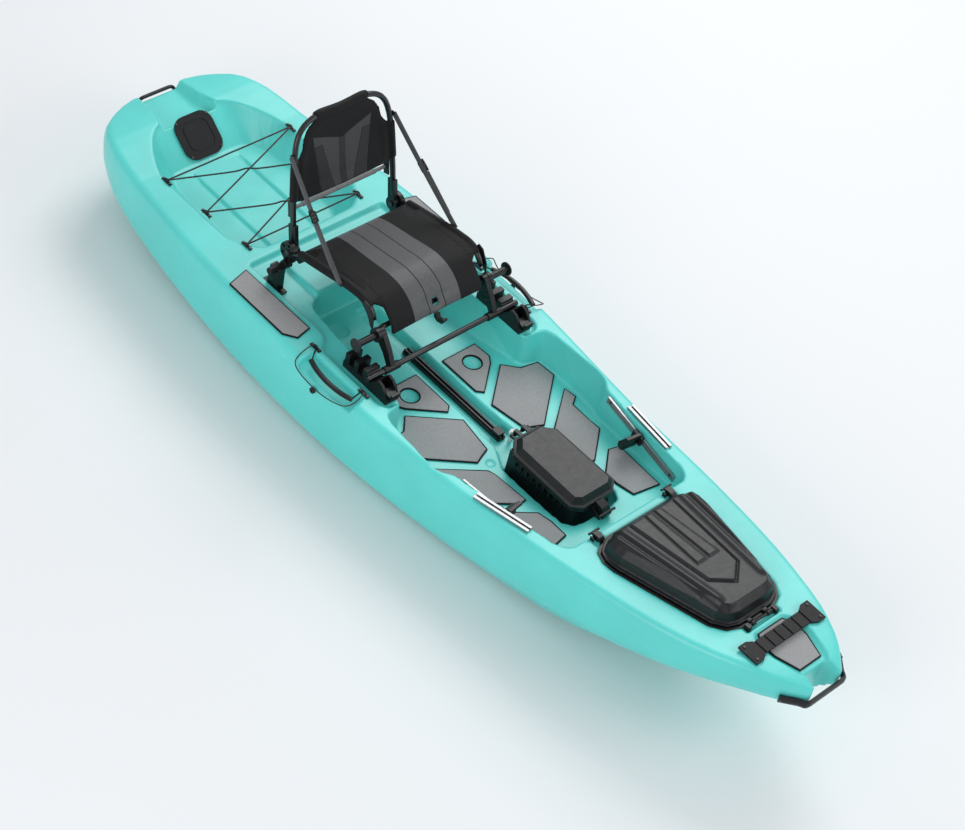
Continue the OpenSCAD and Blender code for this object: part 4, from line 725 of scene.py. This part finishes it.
def make_seat_sling():
    bm = welded("seat_sling")
    o = piece("seat_sling_look", bm, MATS["seat_fabric"])
    parts = [o]
    for s in (1, -1):
        parts.append(tube("sleeve%d" % (s + 1), [(x, s * RAIL_Y, z) for x, z in RAIL], 0.0145,
                          MATS["seat_fabric"], 14, 4))
        corner = [(x, s * 0.212, z) for x, z in RAIL[:5]]
        parts.append(ribbon("web%d" % (s + 1), corner, 0.05, 0.006, (0, 0, 1), MATS["seat_fabric"]))
    join(parts)
    remeshed(o, 0.0045, 3)
    co = points(o)
    pins = (np.abs(co[:, 1]) > 0.222)
    puffed(o, 3.0, 0.004, 12, pins)
    sub = o.modifiers.new("sub", "SUBSURF")
    sub.levels = sub.render_levels = 1
    apply_modifiers(o)
    for f in o.data.polygons:
        f.use_smooth = True
    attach(o, "seat")
    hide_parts("seat_sling")


BACK_AT = (-0.620, 0.455)
BACK_LEAN = math.radians(13)
BACK_HALF = [
    (0, 0.162), (0.17, 0.168), (0.205, 0.176), (0.2135, 0.184), (0.211, 0.24), (0.2075, 0.29), (0.204, 0.318),
    (0.184, 0.33), (0.168, 0.352), (0.16, 0.388), (0.142, 0.416), (0.116, 0.434), (0.102, 0.452), (0, 0.45),
]
BACK_SIDE = [(0.214, 0.182), (0.2115, 0.225), (0.209, 0.267), (0.206, 0.306), (0.2045, 0.322)]
BACK_TOP = [(-0.11, 0.4515), (-0.087, 0.4552), (-0.04, 0.4525), (0, 0.4505), (0.04, 0.4525), (0.087, 0.4552),
            (0.11, 0.4515)]


def on_back(x, y, z):
    """From the backrest's own plane to the row frame."""
    x += min(0.0, -0.08 * (z - 0.322))
    c, s = math.cos(BACK_LEAN), math.sin(BACK_LEAN)
    return Vector((BACK_AT[0] + x * c - z * s, y, BACK_AT[1] + x * s + z * c))


def make_back_sling():
    outline = BACK_HALF + [(-y, z) for y, z in BACK_HALF[-2:0:-1]]
    bm = bmesh.new()
    back, front = ([bm.verts.new(on_back(x, y, z)) for y, z in outline] for x in (-0.005, 0.004))
    bm.faces.new(back)
    bm.faces.new(front[::-1])
    for i in range(len(outline)):
        j = (i + 1) % len(outline)
        bm.faces.new((back[j], back[i], front[i], front[j]))
    bmesh.ops.triangulate(bm, faces=bm.faces)
    bmesh.ops.recalc_face_normals(bm, faces=bm.faces)
    o = piece("back_sling_look", bm, back_cloth())
    top = [on_back(0, y, z) for y, z in BACK_TOP]
    parts = [o, tube("top_sleeve", top, 0.0138, MATS["seat_fabric"], 14, 4)]
    for s in (1, -1):
        parts.append(tube("side_sleeve%d" % (s + 1), [on_back(0, s * y, z) for y, z in BACK_SIDE], 0.0138,
                          MATS["seat_fabric"], 14, 4))
    join(parts)
    remeshed(o, 0.0042, 2)
    c, s = math.cos(BACK_LEAN), math.sin(BACK_LEAN)
    co = points(o)
    z = (co[:, 2] - BACK_AT[1]) * c - (co[:, 0] - BACK_AT[0]) * s
    across = np.clip(1 - (np.abs(co[:, 1]) / 0.2) ** 2, 0, 1)
    along = np.clip((z - 0.15) / 0.06, 0.35, 1) * np.clip((0.44 - z) / 0.08, 0, 1)
    dish = 0.009 * across * along
    co[:, 0] -= dish * c
    co[:, 2] -= dish * s
    put_points(o, co)
    pins = (np.abs(co[:, 1]) > 0.198) | (z > 0.44)
    puffed(o, 3.0, 0.004, 12, pins)
    sub = o.modifiers.new("sub", "SUBSURF")
    sub.levels = sub.render_levels = 1
    apply_modifiers(o)
    for f in o.data.polygons:
        f.use_smooth = True
    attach(o, "backrest")
    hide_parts("back_sling")


def ribbon(name, route, width, thick, across, material):
    """A flat strap: its width lies across the route, in the direction across."""
    pts = [Vector(p) for p in route]
    bm = bmesh.new()
    rings = []
    for i, p in enumerate(pts):
        t = (pts[min(i + 1, len(pts) - 1)] - pts[max(i - 1, 0)]).normalized()
        n = Vector(across).cross(t).normalized()
        w = t.cross(n).normalized()
        a, b = n * width / 2, w * thick / 2
        rings.append([bm.verts.new(p + q) for q in (a + b, b, -a + b, -a - b, -b, a - b)])
    for r, s in zip(rings, rings[1:]):
        for k in range(6):
            bm.faces.new((r[k], r[(k + 1) % 6], s[(k + 1) % 6], s[k]))
    bm.faces.new(rings[0][::-1])
    bm.faces.new(rings[-1])
    return piece(name, bm, material)


def make_straps():
    lo_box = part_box("strap_lower_anchors")
    hi_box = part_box("strap_upper_anchors")
    low = Vector(((lo_box[0].x + lo_box[1].x) / 2, lo_box[1].y + 0.0022, (lo_box[0].z + lo_box[1].z) / 2))
    high = Vector(((hi_box[0].x + hi_box[1].x) / 2, hi_box[1].y + 0.002, (hi_box[0].z + hi_box[1].z) / 2))
    along = (high - low).normalized()
    mid = low.lerp(high, 0.53)
    start, end = low.copy(), high.copy()
    for s, label in ((1, "port"), (-1, "starboard")):
        flip = Matrix.Diagonal((1, s, 1, 1))
        sag = [Vector((0, 0, -0.004 * math.sin(math.pi * t / 24))) for t in range(25)]
        span = [low.lerp(high, t / 24) + sag[t] for t in range(25)]
        main = ribbon("strap_" + label, [flip @ p for p in span], 0.0245, 0.0022, (0, 1, 0), MATS["webbing"])
        tail = [mid + along * d + Vector((0.004 * k, 0.0042, -0.0035 * k)) for k, d in
                enumerate((-0.02, -0.05, -0.085, -0.12, -0.15))]
        path = [flip @ p for p in tail]
        loose = ribbon("strap_tail_" + label, path, 0.0235, 0.0022, (0, 1, 0), MATS["webbing"])
        buckle = ladder_lock("buckle_" + label, mid, along, flip)
        for o in (main, loose, buckle):
            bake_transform(o)
        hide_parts("back_straps")
        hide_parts("strap_buckles")


def ladder_lock(name, at, along, flip):
    """Buckle of two side bars and four cross bars, with a lifted lip."""
    out = Vector((0, 1, 0))
    wide = along.cross(out).normalized()
    out = wide.cross(along).normalized()
    bm = bmesh.new()

    def bar(c, l, w, t):
        m = Matrix((along * l, wide * w, out * t)).transposed().to_4x4()
        m.translation = at + along * c[0] + wide * c[1] + out * c[2]
        bmesh.ops.create_cube(bm, size=1, matrix=m)

    for e in (-1, 1):
        bar((0, e * 0.0148, 0.001), 0.036, 0.004, 0.0075)
    for c in (-0.0165, -0.006, 0.006, 0.0165):
        bar((c, 0, 0.0035), 0.0042, 0.03, 0.003)
    bar((0.021, 0, 0.005), 0.008, 0.026, 0.0025)
    bmesh.ops.bevel(bm, geom=list(bm.edges), offset=0.0008, segments=2, affect="EDGES")
    bm.transform(flip)
    if flip[1][1] < 0:
        bmesh.ops.reverse_faces(bm, faces=bm.faces)
    return piece(name, bm, MATS["black_plastic"])


# ---------------------------------------------------------------- cords


def make_cords():
    eyes = [(-1.199, 0.272), (-1.003, 0.2585), (-0.806, 0.245)]
    at = {}
    for i, (x, y) in enumerate(eyes):
        z = near("tankwell_bungee", x, y)
        at[i, 1], at[i, -1] = Vector((x, y, z)), Vector((x, -y, z))
    runs = [(0, 0, 0), (0, 1, 1), (1, 0, 0), (1, 2, 1), (2, 1, 0), (2, 2, 0)]
    for k, (i, j, over) in enumerate(runs):
        a, b = at[i, -1], at[j, 1]
        hump = Vector((0, 0, 0.0066 * over))
        sag = Vector((0, 0, -0.001))
        route = [a, a.lerp(b, 0.2) + sag, a.lerp(b, 0.42) + sag, a.lerp(b, 0.5) + hump,
                 a.lerp(b, 0.58) + sag, a.lerp(b, 0.8) + sag, b]
        o = tube("bungee_%d" % k, route, 0.003, MATS["shock_cord"], 10, 5)
        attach(o, "kayak")
        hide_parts("tankwell_bungee")
    keeper = [
        (-322, 361.6, 351), (-322, 382, 352), (-321, 410, 346), (-319, 432, 335), (-316, 441, 322),
        (-306, 443.6, 309), (-286, 444, 299), (-252, 444, 293), (-218, 444, 291), (-186, 444, 293),
        (-152, 444, 299), (-116, 442, 309), (-84, 438, 322), (-64, 428, 337), (-60, 406, 347),
        (-66, 380, 351), (-71, 361.6, 347),
    ]
    for s, label in ((1, "port"), (-1, "starboard")):
        route = [(x / 1000, s * y / 1000, z / 1000) for x, y, z in keeper]
        o = tube("keeper_cord_" + label, route, 0.002, MATS["shock_cord"], 8, 4)
        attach(o, "kayak")
        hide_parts("paddle_keeper_cords")


# ---------------------------------------------------------------- the rest of the fittings

SOFT_EDGE = {
    "bow_strap": 0.0012, "bow_handle": 0.0028, "stern_handle": 0.002, "stern_plate": 0.0018,
    "gear_tracks": 0.0005, "foot_rails": 0.0005, "foot_pedal_port": 0.0012,
    "foot_pedal_starboard": 0.0012, "side_handle_port": 0.002, "side_handle_starboard": 0.002,
    "seat_saddles": 0.0022, "saddle_latch_port": 0.001, "saddle_latch_starboard": 0.001,
    "rear_cradles": 0.002, "centre_track": 0.0006, "track_slider": 0.001, "hatch_rim": 0.001,
    "hatch_hinge_base": 0.0015, "hatch_hinge_bar": 0.001, "hatch_latch_port": 0.0013,
    "hatch_latch_starboard": 0.0013, "pod_box": 0.0012, "pod_hinge_bar": 0.001,
    "pod_latch": 0.0015, "pod_cable_plug": 0.001, "seat_hook": 0.0015, "leg_hubs": 0.0015,
    "leg_pins": 0.0012, "front_legs": 0.0012, "crossbar_caps": 0.0008, "rear_posts": 0.0012,
    "recliner_plates": 0.0012, "recliner_pins": 0.0008, "recliner_arms": 0.0012,
    "lumbar_racks": 0.0008, "lumbar_bar": 0.001, "strap_lower_anchors": 0.0008,
    "strap_upper_anchors": 0.0008, "deck_pad_eyes": 0.0006, "deck_screws": 0.0006,
    "paddle_keeper_toggles": 0.0008, "crossbar": 0.0, "seat_frame": 0.0, "back_frame": 0.0,
}


def make_fittings():
    for node, width in SOFT_EDGE.items():
        refined(node, width, 2, 40 if width == 0 else 28)
    for node in ("stern_plate_gasket", "hatch_gasket", "pod_gasket"):
        NODES[node].data.materials.clear()
        NODES[node].data.materials.append(MATS["black_rubber"])


make_cords()
make_hull()
for pad in ("floor_pads", "gunwale_pads", "bow_pad"):
    make_pads(pad)
make_hatch_lid()
make_pod_lid()
make_seat_sling()
make_back_sling()
make_straps()
make_fittings()

bpy.context.view_layer.update()
